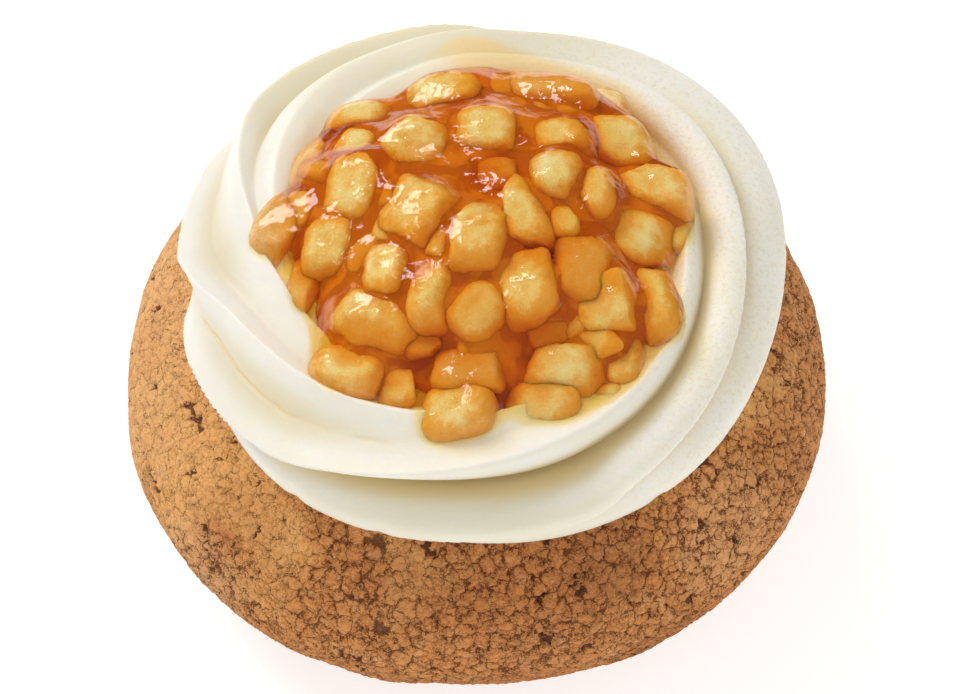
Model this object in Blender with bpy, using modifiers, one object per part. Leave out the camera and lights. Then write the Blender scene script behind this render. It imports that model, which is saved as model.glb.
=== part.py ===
"""Cream puff: a round choux bun under a cracked sugar crust, a piped swirl of
cream on its crown, and a heap of glazed diced fruit in the swirl's well.

Metres, +Z up.  Origin at the bottom centre, on the surface the bun rests on.
The swirl's crests run counter-clockwise inwards, seen from above.
Sizes below are in millimetres and are scaled once, by MM.
"""
import math

import bmesh
import bpy
import numpy as np
from mathutils import Matrix, Vector
from mathutils.bvhtree import BVHTree

MM = 0.001
GAP = 0.3                 # clear gap between two pieces that touch

# ---- choux bun: a turned form, widest a little under half height
BUN_R = 39.7              # mean radius at the widest level
BUN_WIDE_Z = 17.4         # height of the widest level
BUN_UPPER = 23.63         # crown above the widest level
BUN_LOWER = 20.2          # depth the lower side would reach as a full oval
BUN_POW_UP = 1.97         # 2 is an ellipse, more is squarer
BUN_POW_LOW = 2.13
BUN_FOOT_Z = 10.0         # the side turns under to the foot from here
BUN_FOOT_R = 27.0         # radius of the flat foot
BUN_STEPS = 44            # facets round
# uneven outline: (waves round, share of the radius, phase in degrees)
BUN_WAVES = ((1, 0.0112, 84.0), (2, 0.0034, 21.0), (3, 0.0112, 255.0), (5, 0.0045, 91.0))

# ---- cream swirl: a twisted star-section rope laid in a ring
RING_CX, RING_CY = 0.75, -1.4     # the ring lies a little off the bun's centre
RING_R = 24.1             # radius of the rope's middle line
ROPE_A = 9.67             # rope half-width, at a crest
ROPE_B = 8.27             # rope half-height, at a crest
RING_Z = 39.84            # height of the rope's middle line
RING_R_WAVES = ((1, 0.23, -77.0), (2, 0.43, 32.6), (3, 0.66, 98.0), (4, 0.42, 163.0))
RING_Z_WAVES = ((1, 0.17, -3.0), (2, 0.47, 255.0))
BACK_LIFT = (1.4, 95.0, 17.0)   # the ring rises at its end: height, ring angle, spread in degrees
GROOVE = 0.27             # depth of a groove, as a share of the rope's half-width
CREST_SOFT = 0.03         # rounding of the crests
CREASE_SOFT = 0.05        # rounding of the deepest lines
FLOOR_Z = 43.9            # floor of the well inside the ring
FLOOR_DISH = 0.9          # the floor rises by this towards the wall
CREAM_STEPS = 92          # sections round the ring
ROPE_FACET = math.radians(9.5)    # width of a facet on the rope's section
# One crest for each tooth of the piping tip: the ring angle at which it leaves
# the outer edge, then (degrees further round, angle on the rope's section).
# On the section 0 is outwards, 90 is up and 180 faces the well.
CRESTS = (
    (100, ((-60, -62), (0, 18), (20, 28), (40, 38), (54, 58), (74, 84), (90, 97), (110, 110), (220, 170))),
    (176, ((-60, -58), (-20, -2), (0, 8), (8, 29), (24, 62), (44, 77), (78, 92), (140, 112), (220, 168))),
    (228, ((-60, -56), (-30, -6), (0, 18), (14, 36), (36, 56), (58, 70), (92, 84), (126, 100), (220, 160))),
    (290, ((-70, -45), (-30, -12), (0, 2), (10, 20), (40, 43), (68, 60), (96, 73), (150, 84), (196, 100), (250, 150))),
    (336, ((-70, -50), (-20, -14), (0, 4), (30, 16), (70, 24), (90, 44), (110, 60), (149, 74), (174, 86), (250, 140))),
)
# The valley on the inner side of each crest: where it is deepest, from the crest (0)
# to the next one in (1), how deep, and how far its outer and inner flank go from a
# sharp crest and a round floor (0) to a round crest and a crease (1).
VALLEYS = (
    (0.30, 1.70, 0.35, 0.75),
    (0.34, 0.95, 0.10, 0.30),
    (0.52, 0.80, 0.10, 0.10),
    (0.66, 1.75, 1.00, 1.00),
    (0.80, 1.00, 0.90, 0.30),
)
# the fourth crest's valley is a long crease: close under the next crest in front,
# it opens on the way round to the right (share at first, change, from and to degree)
LONG_CREASE = (3, 0.92, -0.30, 225.0, 285.0)

# ---- fruit heap: a low dome of diced fruit with an uneven edge
HEAP_CX, HEAP_CY = 0.6, -0.8
HEAP_R = 23.7             # mean radius of the heap's edge
HEAP_R_WAVES = ((1, 0.5, 282.0), (2, 0.8, 198.0), (3, 0.65, 138.0), (5, 0.45, 94.0), (8, 0.7, 30.0))
HEAP_EDGE = 2.6           # height of its side over the cream
HEAP_TOP_Z = 54.6         # top of the dome, without the pieces' relief
HEAP_STEPS = 44
HEAP_RINGS = 26
DICE = 7.0                # size of one piece of fruit
DICE_RELIEF = 2.2         # how far a piece stands out of the syrup
DICE_SEED = 11


def wave_sum(waves, angle):
    return sum(size * np.cos(n * angle - math.radians(phase)) for n, size, phase in waves)


def smooth_curve(x, xs, ys):
    """Cubic through the pairs that doesn't overshoot; straight beyond the ends."""
    xs, ys = np.asarray(xs, float), np.asarray(ys, float)
    step = np.diff(xs)
    slope = np.diff(ys) / step
    m = np.empty_like(ys)
    m[0], m[-1] = slope[0], slope[-1]
    a, b = slope[:-1], slope[1:]
    m[1:-1] = np.where(a * b > 0, 2 * a * b / (a + b + 1e-12), 0.0)
    i = np.clip(np.searchsorted(xs, x) - 1, 0, len(step) - 1)
    t = (x - xs[i]) / step[i]
    y = ((2 * t**3 - 3 * t**2 + 1) * ys[i] + (t**3 - 2 * t**2 + t) * step[i] * m[i]
         + (3 * t**2 - 2 * t**3) * ys[i + 1] + (t**3 - t**2) * step[i] * m[i + 1])
    y = np.where(t < 0, ys[0] + (x - xs[0]) * m[0], y)
    return np.where(t > 1, ys[-1] + (x - xs[-1]) * m[-1], y)


# ---------------------------------------------------------------- bun
def bun_outline(angle):
    return 1.0 + wave_sum(BUN_WAVES, angle)


def bun_side(z):
    """Radius of the turned form at a height above the foot's curve."""
    if z >= BUN_WIDE_Z:
        reach, power = BUN_UPPER, BUN_POW_UP
    else:
        reach, power = BUN_LOWER, BUN_POW_LOW
    u = min(abs(z - BUN_WIDE_Z) / reach, 1.0)
    return BUN_R * (1.0 - u**power) ** (1.0 / power)


def bun_profile():
    """(radius, height) from the crown down the outside to the foot's centre."""
    points = [(0.0, BUN_WIDE_Z + BUN_UPPER)]
    for k in range(1, 12):
        a = math.radians(90.0 - 90.0 * k / 12)
        points.append((BUN_R * math.cos(a) ** (2 / BUN_POW_UP),
                       BUN_WIDE_Z + BUN_UPPER * math.sin(a) ** (2 / BUN_POW_UP)))
    for k in range(4):
        z = BUN_WIDE_Z + (BUN_FOOT_Z - BUN_WIDE_Z) * k / 3
        points.append((bun_side(z), z))
    r0, z0 = points[-1]
    dr = (bun_side(z0 + 0.1) - bun_side(z0 - 0.1)) / 0.2
    length = math.hypot(dr, 1.0)
    r1, z1 = r0 - 8.0 * dr / length, z0 - 8.0 / length
    r2, z2 = BUN_FOOT_R + 4.5, 0.0
    for k in range(1, 6):
        t = k / 5
        c0, c1, c2, c3 = (1 - t)**3, 3 * t * (1 - t)**2, 3 * t * t * (1 - t), t**3
        points.append((c0 * r0 + c1 * r1 + c2 * r2 + c3 * BUN_FOOT_R, c0 * z0 + c1 * z1 + c2 * z2))
    points.append((0.0, 0.0))
    return points


def bun_top(x, y):
    """Height of the crown over a point."""
    angle = np.arctan2(y, x)
    r = np.hypot(x, y) / bun_outline(angle) / BUN_R
    return BUN_WIDE_Z + BUN_UPPER * (1.0 - np.clip(r, 0, 0.999) ** BUN_POW_UP) ** (1.0 / BUN_POW_UP)


def make_bun(collection):
    profile = bun_profile()
    mesh = bpy.data.meshes.new("choux_bun_profile")
    mesh.from_pydata([(r * MM, 0.0, z * MM) for r, z in profile],
                     [(i, i + 1) for i in range(len(profile) - 1)], [])
    turned = bpy.data.objects.new("choux_bun_profile", mesh)
    collection.objects.link(turned)
    screw = turned.modifiers.new("turn", "SCREW")
    screw.axis = "Z"
    screw.angle = 2 * math.pi
    screw.steps = screw.render_steps = BUN_STEPS
    screw.use_merge_vertices = True
    screw.merge_threshold = 0.00001
    bpy.context.view_layer.update()
    graph = bpy.context.evaluated_depsgraph_get()
    solid = bpy.data.meshes.new_from_object(turned.evaluated_get(graph))
    bpy.data.objects.remove(turned)
    # the uneven outline of a hand-piped bun; the foot stays flat
    for vert in solid.vertices:
        x, y, z = (c / MM for c in vert.co)
        angle = math.atan2(y, x)
        k = float(bun_outline(angle))
        swell = 0.35 * math.sin(3 * angle + 0.12 * z) * math.sin(math.pi * min(z / 28.0, 1))
        r = math.hypot(x, y)
        grow = k + (swell / r if r > 8 else 0.0)
        vert.co = Vector((x * grow * MM, y * grow * MM, z * MM))
    solid.name = "choux_bun"
    bun = bpy.data.objects.new("choux_bun", solid)
    collection.objects.link(bun)
    solid.shade_smooth()
    solid.set_sharp_from_angle(angle=math.radians(50))
    return bun


# ---------------------------------------------------------------- cream
def crest_angles(ring_deg):
    """Section angles of every crest at each ring angle in rising order, and whose they are."""
    rows, names = [], []
    for number, (start, pairs) in enumerate(CRESTS):
        xs, ys = [p[0] for p in pairs], [p[1] for p in pairs]
        for turn in (-1, 0, 1):
            age = (ring_deg - start + 180) % 360 - 180 + 360 * turn
            rows.append(smooth_curve(age, xs, ys))
            names.append(number)
    rows = np.stack(rows, -1)
    order = np.argsort(rows, -1)
    return np.take_along_axis(rows, order, -1), np.array(names)[order]


def valley_place(name, ring_deg):
    """Where the valley inside a crest is deepest, from that crest (0) to the next one in (1)."""
    number, first, change, start, end = LONG_CREASE
    turn = (ring_deg - 200.0) % 360.0 + 200.0
    t = np.clip((turn - start) / (end - start), 0, 1)
    place = np.array([v[0] for v in VALLEYS])[name]
    return np.where(name == number, first + change * t * t * (3 - 2 * t), place)


def groove(ring_deg, section_deg):
    """Share of the rope's half-size: 1 on a crest, less in a groove."""
    crests, names = crest_angles(ring_deg)
    k = np.clip((crests <= section_deg[..., None]).sum(-1), 1, crests.shape[-1] - 1)
    low = np.take_along_axis(crests, (k - 1)[..., None], -1)[..., 0]
    high = np.take_along_axis(crests, k[..., None], -1)[..., 0]
    name = np.take_along_axis(names, (k - 1)[..., None], -1)[..., 0]
    depth, outer, inner = [np.array(v)[name] for v in list(zip(*VALLEYS))[1:]]
    place = valley_place(name, ring_deg)
    width = np.maximum(high - low, 1e-3)
    t = np.clip((section_deg - low) / width, 0, 1)
    v = np.where(t < place, t / place, (1 - t) / (1 - place))
    v = 1 + CREASE_SOFT - np.sqrt((1 - v) ** 2 + CREASE_SOFT**2)
    kind = np.where(t < place, outer, inner)
    crease = np.clip(v, 0, 1 + CREASE_SOFT) ** np.where((name == LONG_CREASE[0]) & (t < place), 2.6, 1.8)
    bowl = (1 - (1 - np.clip(v, 0, 1)) ** 2) * (1 - kind) + crease * kind
    bowl = np.sqrt(bowl**2 + CREST_SOFT**2) - CREST_SOFT
    return 1 - GROOVE * np.clip(width / 55.0, 0, 1.25) * depth * bowl


def rope_point(angle, section):
    """Ring angle and section angle in radians -> radius from the ring's middle, height."""
    angle, section = np.broadcast_arrays(np.asarray(angle, float), np.asarray(section, float))
    s = groove(np.degrees(angle) % 360, np.degrees(section))
    r = RING_R + wave_sum(RING_R_WAVES, angle) + ROPE_A * s * np.cos(section)
    z = RING_Z + wave_sum(RING_Z_WAVES, angle) + ROPE_B * s * np.sin(section)
    lift, place, spread = BACK_LIFT
    off = (np.degrees(angle) - place + 180) % 360 - 180
    return r, z + lift * np.exp(-((off / spread) ** 2))


def ring_xy(r, angle):
    return RING_CX + r * np.cos(angle), RING_CY + r * np.sin(angle)


def floor_z(r):
    return FLOOR_Z + FLOOR_DISH * np.clip(r / 16.0, 0, 1) ** 2


def rope_lines(angle, high, low):
    """Section angles from high to low, as (mark, angle); crests and valleys are marked."""
    ring_deg = np.float64(math.degrees(angle) % 360)
    crests, names = crest_angles(ring_deg)
    gaps = np.diff(crests)
    valleys = crests[:-1] + valley_place(names[:-1], ring_deg) * gaps
    lines = [(("crest", int(n)), math.radians(c)) for n, c in zip(names, crests)]
    lines += [(("valley", int(n)), math.radians(v)) for n, v, gap in zip(names, valleys, gaps) if gap > 14.0]
    lines = sorted((m for m in lines if low + 0.05 < m[1] < high - 0.05), key=lambda m: -m[1])
    lines = [(("end", 0), high)] + lines + [(("end", 1), low)]
    out = []
    for (mark, a), (_, b) in zip(lines, lines[1:]):
        fill = min(max(round((a - b) / ROPE_FACET) - 1, 0), 4)
        out.append((mark, a))
        out += [(None, a + (b - a) * k / (fill + 1)) for k in range(1, fill + 1)]
    return out + [lines[-1]]


def cream_section(angle):
    """Closed outline at one ring angle, from the well's centre over the rope and back under.

    Each point is (radius, height, mark, section angle)."""
    scan = np.radians(np.arange(-84.0, 1.0, 1.0))
    r, z = rope_point(angle, scan)
    x, y = ring_xy(r, angle)
    clear = z > bun_top(x, y) + GAP + 0.25
    low = scan[np.where(~clear)[0].max() + 1] if (~clear).any() else scan[0]
    scan = np.radians(np.arange(95.0, 200.0, 1.0))
    r, z = rope_point(angle, scan)
    under = np.where(z < floor_z(r) + 0.2)[0]
    high = scan[under[0]] if len(under) else scan[-1]
    lines = rope_lines(angle, float(high), float(low))
    r, z = rope_point(angle, np.array([a for _, a in lines]))
    rows = [(r[0] * t, float(floor_z(r[0] * t)), ("floor", k), 0.0) for k, t in enumerate((0.35, 0.72))]
    rows += [(rr, zz, mark, a) for rr, zz, (mark, a) in zip(r.tolist(), z.tolist(), lines)]
    foot = r[-1] - 1.0
    for k, t in enumerate((1.0, 0.9, 0.74, 0.56, 0.36, 0.18)):
        x, y = ring_xy(foot * t, angle)
        rows.append((foot * t, float(bun_top(x, y)) + GAP + 0.1, ("under", k), 0.0))
    return rows


def join_sections(bm, here, there, rows, others):
    """Faces between two neighbouring sections: marked lines run on, the rest is zipped up."""
    meet = [(0, 0)]
    for i, (_, _, mark, a) in enumerate(rows):
        for j, (_, _, other, b) in enumerate(others):
            if mark and mark == other and abs(a - b) < 0.35 and i > meet[-1][0] and j > meet[-1][1]:
                meet.append((i, j))
                break
    for (i, j), (i_end, j_end) in zip(meet, meet[1:]):
        m, n = i_end - i, j_end - j
        a = b = 0
        while a < m or b < n:
            if b == n or (a < m and (a + 1) / m <= (b + 1) / n):
                bm.faces.new((here[i + a], here[i + a + 1], there[j + b]))
                a += 1
            else:
                bm.faces.new((here[i + a], there[j + b + 1], there[j + b]))
                b += 1


def make_cream(collection):
    mesh = bpy.data.meshes.new("cream_swirl")
    bm = bmesh.new()
    loops, sections = [], []
    for i in range(CREAM_STEPS):
        angle = 2 * math.pi * i / CREAM_STEPS
        rows = cream_section(angle)
        loops.append([bm.verts.new(tuple(float(c) * MM for c in (*ring_xy(r, angle), z))) for r, z, _, _ in rows])
        sections.append(rows)
    top = bm.verts.new((RING_CX * MM, RING_CY * MM, FLOOR_Z * MM))
    base = bm.verts.new((RING_CX * MM, RING_CY * MM, (float(bun_top(RING_CX, RING_CY)) + GAP + 0.1) * MM))
    for i in range(CREAM_STEPS):
        k = (i + 1) % CREAM_STEPS
        bm.faces.new((top, loops[i][0], loops[k][0]))
        join_sections(bm, loops[i], loops[k], sections[i], sections[k])
        bm.faces.new((base, loops[k][-1], loops[i][-1]))
    bmesh.ops.recalc_face_normals(bm, faces=bm.faces)
    bm.to_mesh(mesh)
    bm.free()
    mesh.shade_smooth()
    cream = bpy.data.objects.new("cream_swirl", mesh)
    collection.objects.link(cream)
    return cream


# ---------------------------------------------------------------- fruit heap
def dice_centres():
    """Centres of the pieces on the dome: rings of them, jittered, seeded."""
    rng = np.random.default_rng(DICE_SEED)
    centres = []
    for radius, count in ((0.0, 1), (DICE, 6), (2 * DICE, 12), (2.95 * DICE, 17)):
        turn = rng.uniform(0, 2 * math.pi)
        for k in range(count):
            a = turn + 2 * math.pi * k / count
            centres.append((HEAP_CX + radius * math.cos(a) + rng.uniform(-0.9, 0.9),
                            HEAP_CY + radius * math.sin(a) + rng.uniform(-0.9, 0.9),
                            rng.uniform(0, math.pi), rng.uniform(0.6, 1.0)))
    return centres


def dice_relief(x, y, centres):
    """Rounded-square lumps, the tallest one winning."""
    best = 0.0
    for cx, cy, turn, height in centres:
        u = (x - cx) * math.cos(turn) + (y - cy) * math.sin(turn)
        v = (y - cy) * math.cos(turn) - (x - cx) * math.sin(turn)
        d = (abs(u / (0.56 * DICE)) ** 3 + abs(v / (0.56 * DICE)) ** 3) ** (1 / 3)
        if d < 1:
            best = max(best, height * (1 - d**2.4))
    return best * DICE_RELIEF


def make_heap(collection, cream):
    seen = bmesh.new()
    seen.from_mesh(cream.data)
    tree = BVHTree.FromBMesh(seen)
    seen.free()

    def cream_height(x, y):
        hit = tree.ray_cast(Vector((x * MM, y * MM, 0.2)), Vector((0, 0, -1)))[0]
        return hit.z / MM if hit else 0.0

    def heap_edge(angle):
        return HEAP_R + float(wave_sum(HEAP_R_WAVES, angle))

    def rim_height(angle):
        """Cream just under the heap's edge, evened out along the edge."""
        total = 0.0
        for turn in (-0.2, -0.1, 0.0, 0.1, 0.2):
            a, edge = angle + turn, heap_edge(angle + turn)
            total += max(cream_height(HEAP_CX + (edge - back) * math.cos(a), HEAP_CY + (edge - back) * math.sin(a))
                         for back in (0.0, 0.8, 1.6))
        return total / 5

    centres = dice_centres()
    mesh = bpy.data.meshes.new("fruit_heap")
    bm = bmesh.new()
    bmesh.ops.create_uvsphere(bm, u_segments=HEAP_STEPS, v_segments=HEAP_RINGS, radius=1.0)
    for vert in bm.verts:
        angle = math.atan2(vert.co.y, vert.co.x)
        edge = heap_edge(angle)
        tilt = math.acos(max(-1.0, min(1.0, vert.co.z))) / math.pi      # 0 top, 1 bottom
        if tilt <= 0.5:
            share = min(2 * tilt, 1.0)
            r = edge * share
        else:
            share = 2 * (1 - tilt)
            r = (edge - 0.5) * share
        x, y = HEAP_CX + r * math.cos(angle), HEAP_CY + r * math.sin(angle)
        bed = max(cream_height(x + reach * math.cos(k * math.pi / 4), y + reach * math.sin(k * math.pi / 4))
                  for reach in (0.0, 0.8, 1.6) for k in range(8)) + GAP + 0.1
        if tilt <= 0.5001:
            rim = rim_height(angle)
            z = rim + HEAP_EDGE * math.sqrt(1 - share**8) + (HEAP_TOP_Z - rim - HEAP_EDGE) * (1 - share**2.2)
            z = max(z, bed + 0.9) + dice_relief(x, y, centres) * math.sqrt(1 - share**6)
        else:
            z = bed
        vert.co = Vector((x * MM, y * MM, z * MM))
    bmesh.ops.recalc_face_normals(bm, faces=bm.faces)
    bm.to_mesh(mesh)
    bm.free()
    mesh.shade_smooth()
    heap = bpy.data.objects.new("fruit_heap", mesh)
    collection.objects.link(heap)
    return heap


# ---------------------------------------------------------------- materials
def material(name, colour, roughness):
    mat = bpy.data.materials.new(name)
    mat.use_nodes = True
    shader = mat.node_tree.nodes["Principled BSDF"]
    shader.inputs["Base Color"].default_value = (*colour, 1.0)
    shader.inputs["Roughness"].default_value = roughness
    shader.inputs["Metallic"].default_value = 0.0
    return mat


def main():
    for obj in list(bpy.data.objects):
        bpy.data.objects.remove(obj, do_unlink=True)
    collection = bpy.data.collections.new("cream_puff")
    bpy.context.scene.collection.children.link(collection)
    bun = make_bun(collection)
    cream = make_cream(collection)
    heap = make_heap(collection, cream)
    # the origin goes under the middle of the whole
    corners = [vert.co for obj in (bun, cream, heap) for vert in obj.data.vertices]
    shift = Vector([-(max(c[k] for c in corners) + min(c[k] for c in corners)) / 2 for k in (0, 1)] + [0.0])
    print("shift in mm", [round(c / MM, 3) for c in shift])
    for obj in (bun, cream, heap):
        obj.data.transform(Matrix.Translation(shift))
    bun.data.materials.append(material("sugar_crust", (0.45, 0.22, 0.09), 0.85))
    cream.data.materials.append(material("whipped_cream", (0.90, 0.86, 0.72), 0.45))
    heap.data.materials.append(material("glazed_fruit", (0.62, 0.30, 0.05), 0.15))


main()
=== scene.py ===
"""The looks of a cream puff: a cracked craquelin crust, a piped swirl of cream
and a heap of diced fruit under an amber glaze.

The frame is in metres, +Z up, origin at the bottom centre.  The shape functions
below work in millimetres in the swirl's own frame, and to_frame() moves their
points into the frame's.
"""

import math

import bmesh
import bpy
import numpy as np
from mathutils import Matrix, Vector


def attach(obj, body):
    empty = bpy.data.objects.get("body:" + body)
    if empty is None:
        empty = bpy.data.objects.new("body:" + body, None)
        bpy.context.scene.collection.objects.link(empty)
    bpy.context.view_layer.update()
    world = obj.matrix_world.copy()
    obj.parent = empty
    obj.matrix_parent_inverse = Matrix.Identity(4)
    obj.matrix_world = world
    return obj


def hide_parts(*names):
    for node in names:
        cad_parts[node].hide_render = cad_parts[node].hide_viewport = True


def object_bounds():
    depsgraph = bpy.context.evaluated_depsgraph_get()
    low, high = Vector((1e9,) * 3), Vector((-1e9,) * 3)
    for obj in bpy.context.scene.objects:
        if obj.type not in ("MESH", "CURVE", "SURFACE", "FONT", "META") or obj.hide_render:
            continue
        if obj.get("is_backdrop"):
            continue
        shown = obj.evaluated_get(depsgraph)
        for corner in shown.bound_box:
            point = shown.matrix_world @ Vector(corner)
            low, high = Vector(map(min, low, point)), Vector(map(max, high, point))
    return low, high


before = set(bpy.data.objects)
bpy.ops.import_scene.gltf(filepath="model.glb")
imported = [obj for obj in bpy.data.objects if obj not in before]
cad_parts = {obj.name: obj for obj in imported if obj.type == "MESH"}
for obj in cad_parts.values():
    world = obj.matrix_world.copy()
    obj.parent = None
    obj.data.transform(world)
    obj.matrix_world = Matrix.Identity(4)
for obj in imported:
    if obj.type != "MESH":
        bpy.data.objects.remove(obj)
cad_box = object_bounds()
scene = bpy.context.scene
MM = 0.001

# how far the frame's origin lies from the shape functions' own, in mm
SHIFT = np.array([-0.211, -1.211, 0.0])


def to_frame(points):
    return (np.asarray(points, float) + SHIFT) * MM


# ================================================================ camera
CAM_TILT = 57.0               # degrees below the horizon
CAM_FAR = 500.0               # mm from the point looked at
CAM_PIXELS = 8.89             # pixels for each mm at that point
CAM_AT = np.array([1.7, -2.1, 26.0])
IMAGE_W, IMAGE_H = 980, 694

tilt = math.radians(CAM_TILT)
cam_at = to_frame(CAM_AT)
cam_back = np.array([0.0, -math.cos(tilt), math.sin(tilt)])
cam_data = bpy.data.cameras.new("camera")
cam_data.sensor_width = 36.0
cam_data.lens = CAM_PIXELS * CAM_FAR / IMAGE_W * 36.0
cam_data.clip_start, cam_data.clip_end = 0.02, 20.0
camera = bpy.data.objects.new("camera", cam_data)
scene.collection.objects.link(camera)
camera.location = Vector(cam_at + cam_back * CAM_FAR * MM)
camera.rotation_euler = (math.pi / 2 - tilt, 0.0, 0.0)
scene.camera = camera
# the camera's own position and axes, in the shape functions' mm
CAM_POS = CAM_AT + cam_back * CAM_FAR
CAM_FWD = -cam_back
CAM_UP = np.array([0.0, math.sin(tilt), math.cos(tilt)])
CAM_RIGHT = np.array([1.0, 0.0, 0.0])


def sight(px, py):
    """Direction from the camera through a pixel of the 980 x 694 frame."""
    f = CAM_PIXELS * CAM_FAR
    d = CAM_FWD + CAM_RIGHT * (px - IMAGE_W / 2) / f - CAM_UP * (py - IMAGE_H / 2) / f
    return d / np.linalg.norm(d)


# ================================================================ shapes, in mm
BUN_R = 39.7
BUN_WIDE_Z = 17.4
BUN_UPPER = 23.63
BUN_LOWER = 20.2
BUN_POW_UP = 1.97
BUN_POW_LOW = 2.13
BUN_FOOT_Z = 10.0
BUN_FOOT_R = 27.0
BUN_WAVES = ((1, 0.0112, 84.0), (2, 0.0034, 21.0), (3, 0.0112, 255.0), (5, 0.0045, 91.0))

RING_CX, RING_CY = 0.75, -1.4
RING_R = 24.1
ROPE_A = 9.67
ROPE_B = 8.27
RING_Z = 39.84
RING_R_WAVES = ((1, 0.23, -77.0), (2, 0.43, 32.6), (3, 0.66, 98.0), (4, 0.42, 163.0))
RING_Z_WAVES = ((1, 0.17, -3.0), (2, 0.47, 255.0))
BACK_LIFT = (1.4, 95.0, 17.0)   # the ring rises at its end: mm, ring angle, spread in degrees
GROOVE = 0.27
CREST_SOFT = 0.03
FLOOR_Z = 43.9
FLOOR_DISH = 0.9
# each crest: the ring angle where it leaves the outer edge, then
# (degrees further round, angle on the rope's section)
CRESTS = (
    (100, ((-60, -62), (0, 18), (20, 28), (40, 38), (54, 58), (74, 84), (90, 97), (110, 110), (220, 170))),
    (176, ((-60, -58), (-20, -2), (0, 8), (8, 29), (24, 62), (44, 77), (78, 92), (140, 112), (220, 168))),
    (228, ((-60, -56), (-30, -6), (0, 18), (14, 36), (36, 56), (58, 70), (92, 84), (126, 100), (220, 160))),
    (290, ((-70, -45), (-30, -12), (0, 2), (10, 20), (40, 43), (68, 60), (96, 73), (150, 84), (196, 100), (250, 150))),
    (336, ((-70, -50), (-20, -14), (0, 4), (30, 16), (70, 24), (90, 44), (110, 60), (149, 74), (174, 86), (250, 140))),
)


def wave_sum(waves, angle):
    return sum(size * np.cos(n * angle - math.radians(phase)) for n, size, phase in waves)


def smooth_curve(x, xs, ys):
    xs, ys = np.asarray(xs, float), np.asarray(ys, float)
    step = np.diff(xs)
    slope = np.diff(ys) / step
    m = np.empty_like(ys)
    m[0], m[-1] = slope[0], slope[-1]
    a, b = slope[:-1], slope[1:]
    m[1:-1] = np.where(a * b > 0, 2 * a * b / (a + b + 1e-12), 0.0)
    i = np.clip(np.searchsorted(xs, x) - 1, 0, len(step) - 1)
    t = (x - xs[i]) / step[i]
    y = ((2 * t**3 - 3 * t**2 + 1) * ys[i] + (t**3 - 2 * t**2 + t) * step[i] * m[i]
         + (3 * t**2 - 2 * t**3) * ys[i + 1] + (t**3 - t**2) * step[i] * m[i + 1])
    y = np.where(t < 0, ys[0] + (x - xs[0]) * m[0], y)
    return np.where(t > 1, ys[-1] + (x - xs[-1]) * m[-1], y)


def smoothstep(a, b, x):
    t = np.clip((np.asarray(x, float) - a) / (b - a), 0, 1)
    return t * t * (3 - 2 * t)


# ---- value noise, seeded by a hash, for points as (n, 3) in any unit
def _hash(ix, iy, iz, seed):
    h = (ix.astype(np.int64) * 374761393 + iy.astype(np.int64) * 668265263
         + iz.astype(np.int64) * 2147483647 + seed * 1274126177) & 0xFFFFFFFF
    h = ((h ^ (h >> 13)) * 1103515245) & 0xFFFFFFFF
    h = ((h ^ (h >> 16)) * 2246822519) & 0xFFFFFFFF
    return ((h ^ (h >> 15)) & 0xFFFFFF) / float(0xFFFFFF)


def noise3(p, seed=0):
    """Smooth noise from -1 to 1, one cell per unit."""
    p = np.asarray(p, float)
    i = np.floor(p)
    f = p - i
    f = f * f * f * (f * (f * 6 - 15) + 10)
    i = i.astype(np.int64)
    out = 0.0
    for dx in (0, 1):
        for dy in (0, 1):
            for dz in (0, 1):
                w = (np.where(dx, f[..., 0], 1 - f[..., 0]) * np.where(dy, f[..., 1], 1 - f[..., 1])
                     * np.where(dz, f[..., 2], 1 - f[..., 2]))
                out = out + w * _hash(i[..., 0] + dx, i[..., 1] + dy, i[..., 2] + dz, seed)
    return out * 2 - 1


def fbm(p, seed=0, octaves=3, gain=0.5):
    total, size, norm = 0.0, 1.0, 0.0
    p = np.asarray(p, float)
    for k in range(octaves):
        total = total + size * noise3(p * 2.03**k + 17.3 * k, seed + k)
        norm += size
        size *= gain
    return total / norm


# ---------------------------------------------------------------- mesh helpers
def make_object(name, verts, faces, smooth=True):
    mesh = bpy.data.meshes.new(name)
    verts = np.asarray(verts, np.float32)
    faces = np.asarray(faces, np.int32) if not isinstance(faces, list) else faces
    if isinstance(faces, list):
        mesh.from_pydata(verts.tolist(), [], faces)
    else:
        n, k = faces.shape
        mesh.vertices.add(len(verts))
        mesh.vertices.foreach_set("co", verts.ravel())
        mesh.loops.add(n * k)
        mesh.loops.foreach_set("vertex_index", faces.ravel())
        mesh.polygons.add(n)
        mesh.polygons.foreach_set("loop_start", np.arange(n, dtype=np.int32) * k)
        mesh.update(calc_edges=True)
        mesh.validate()
    if smooth:
        mesh.shade_smooth()
    obj = bpy.data.objects.new(name, mesh)
    scene.collection.objects.link(obj)
    return obj


def grid_faces(rows, cols, wrap=True):
    """Quads of a grid of rows x cols points, stored row by row; columns wrap round."""
    i = np.arange(rows - 1)[:, None]
    j = np.arange(cols if wrap else cols - 1)[None, :]
    k = (j + 1) % cols
    a = i * cols + j
    b = i * cols + k
    c = (i + 1) * cols + k
    d = (i + 1) * cols + j
    return np.stack([a, b, c, d], -1).reshape(-1, 4)


def set_attribute(obj, name, values, kind="FLOAT"):
    att = obj.data.attributes.new(name, kind, "POINT")
    if kind == "FLOAT":
        att.data.foreach_set("value", np.asarray(values, np.float32).ravel())
    else:
        att.data.foreach_set("vector", np.asarray(values, np.float32).ravel())


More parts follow.
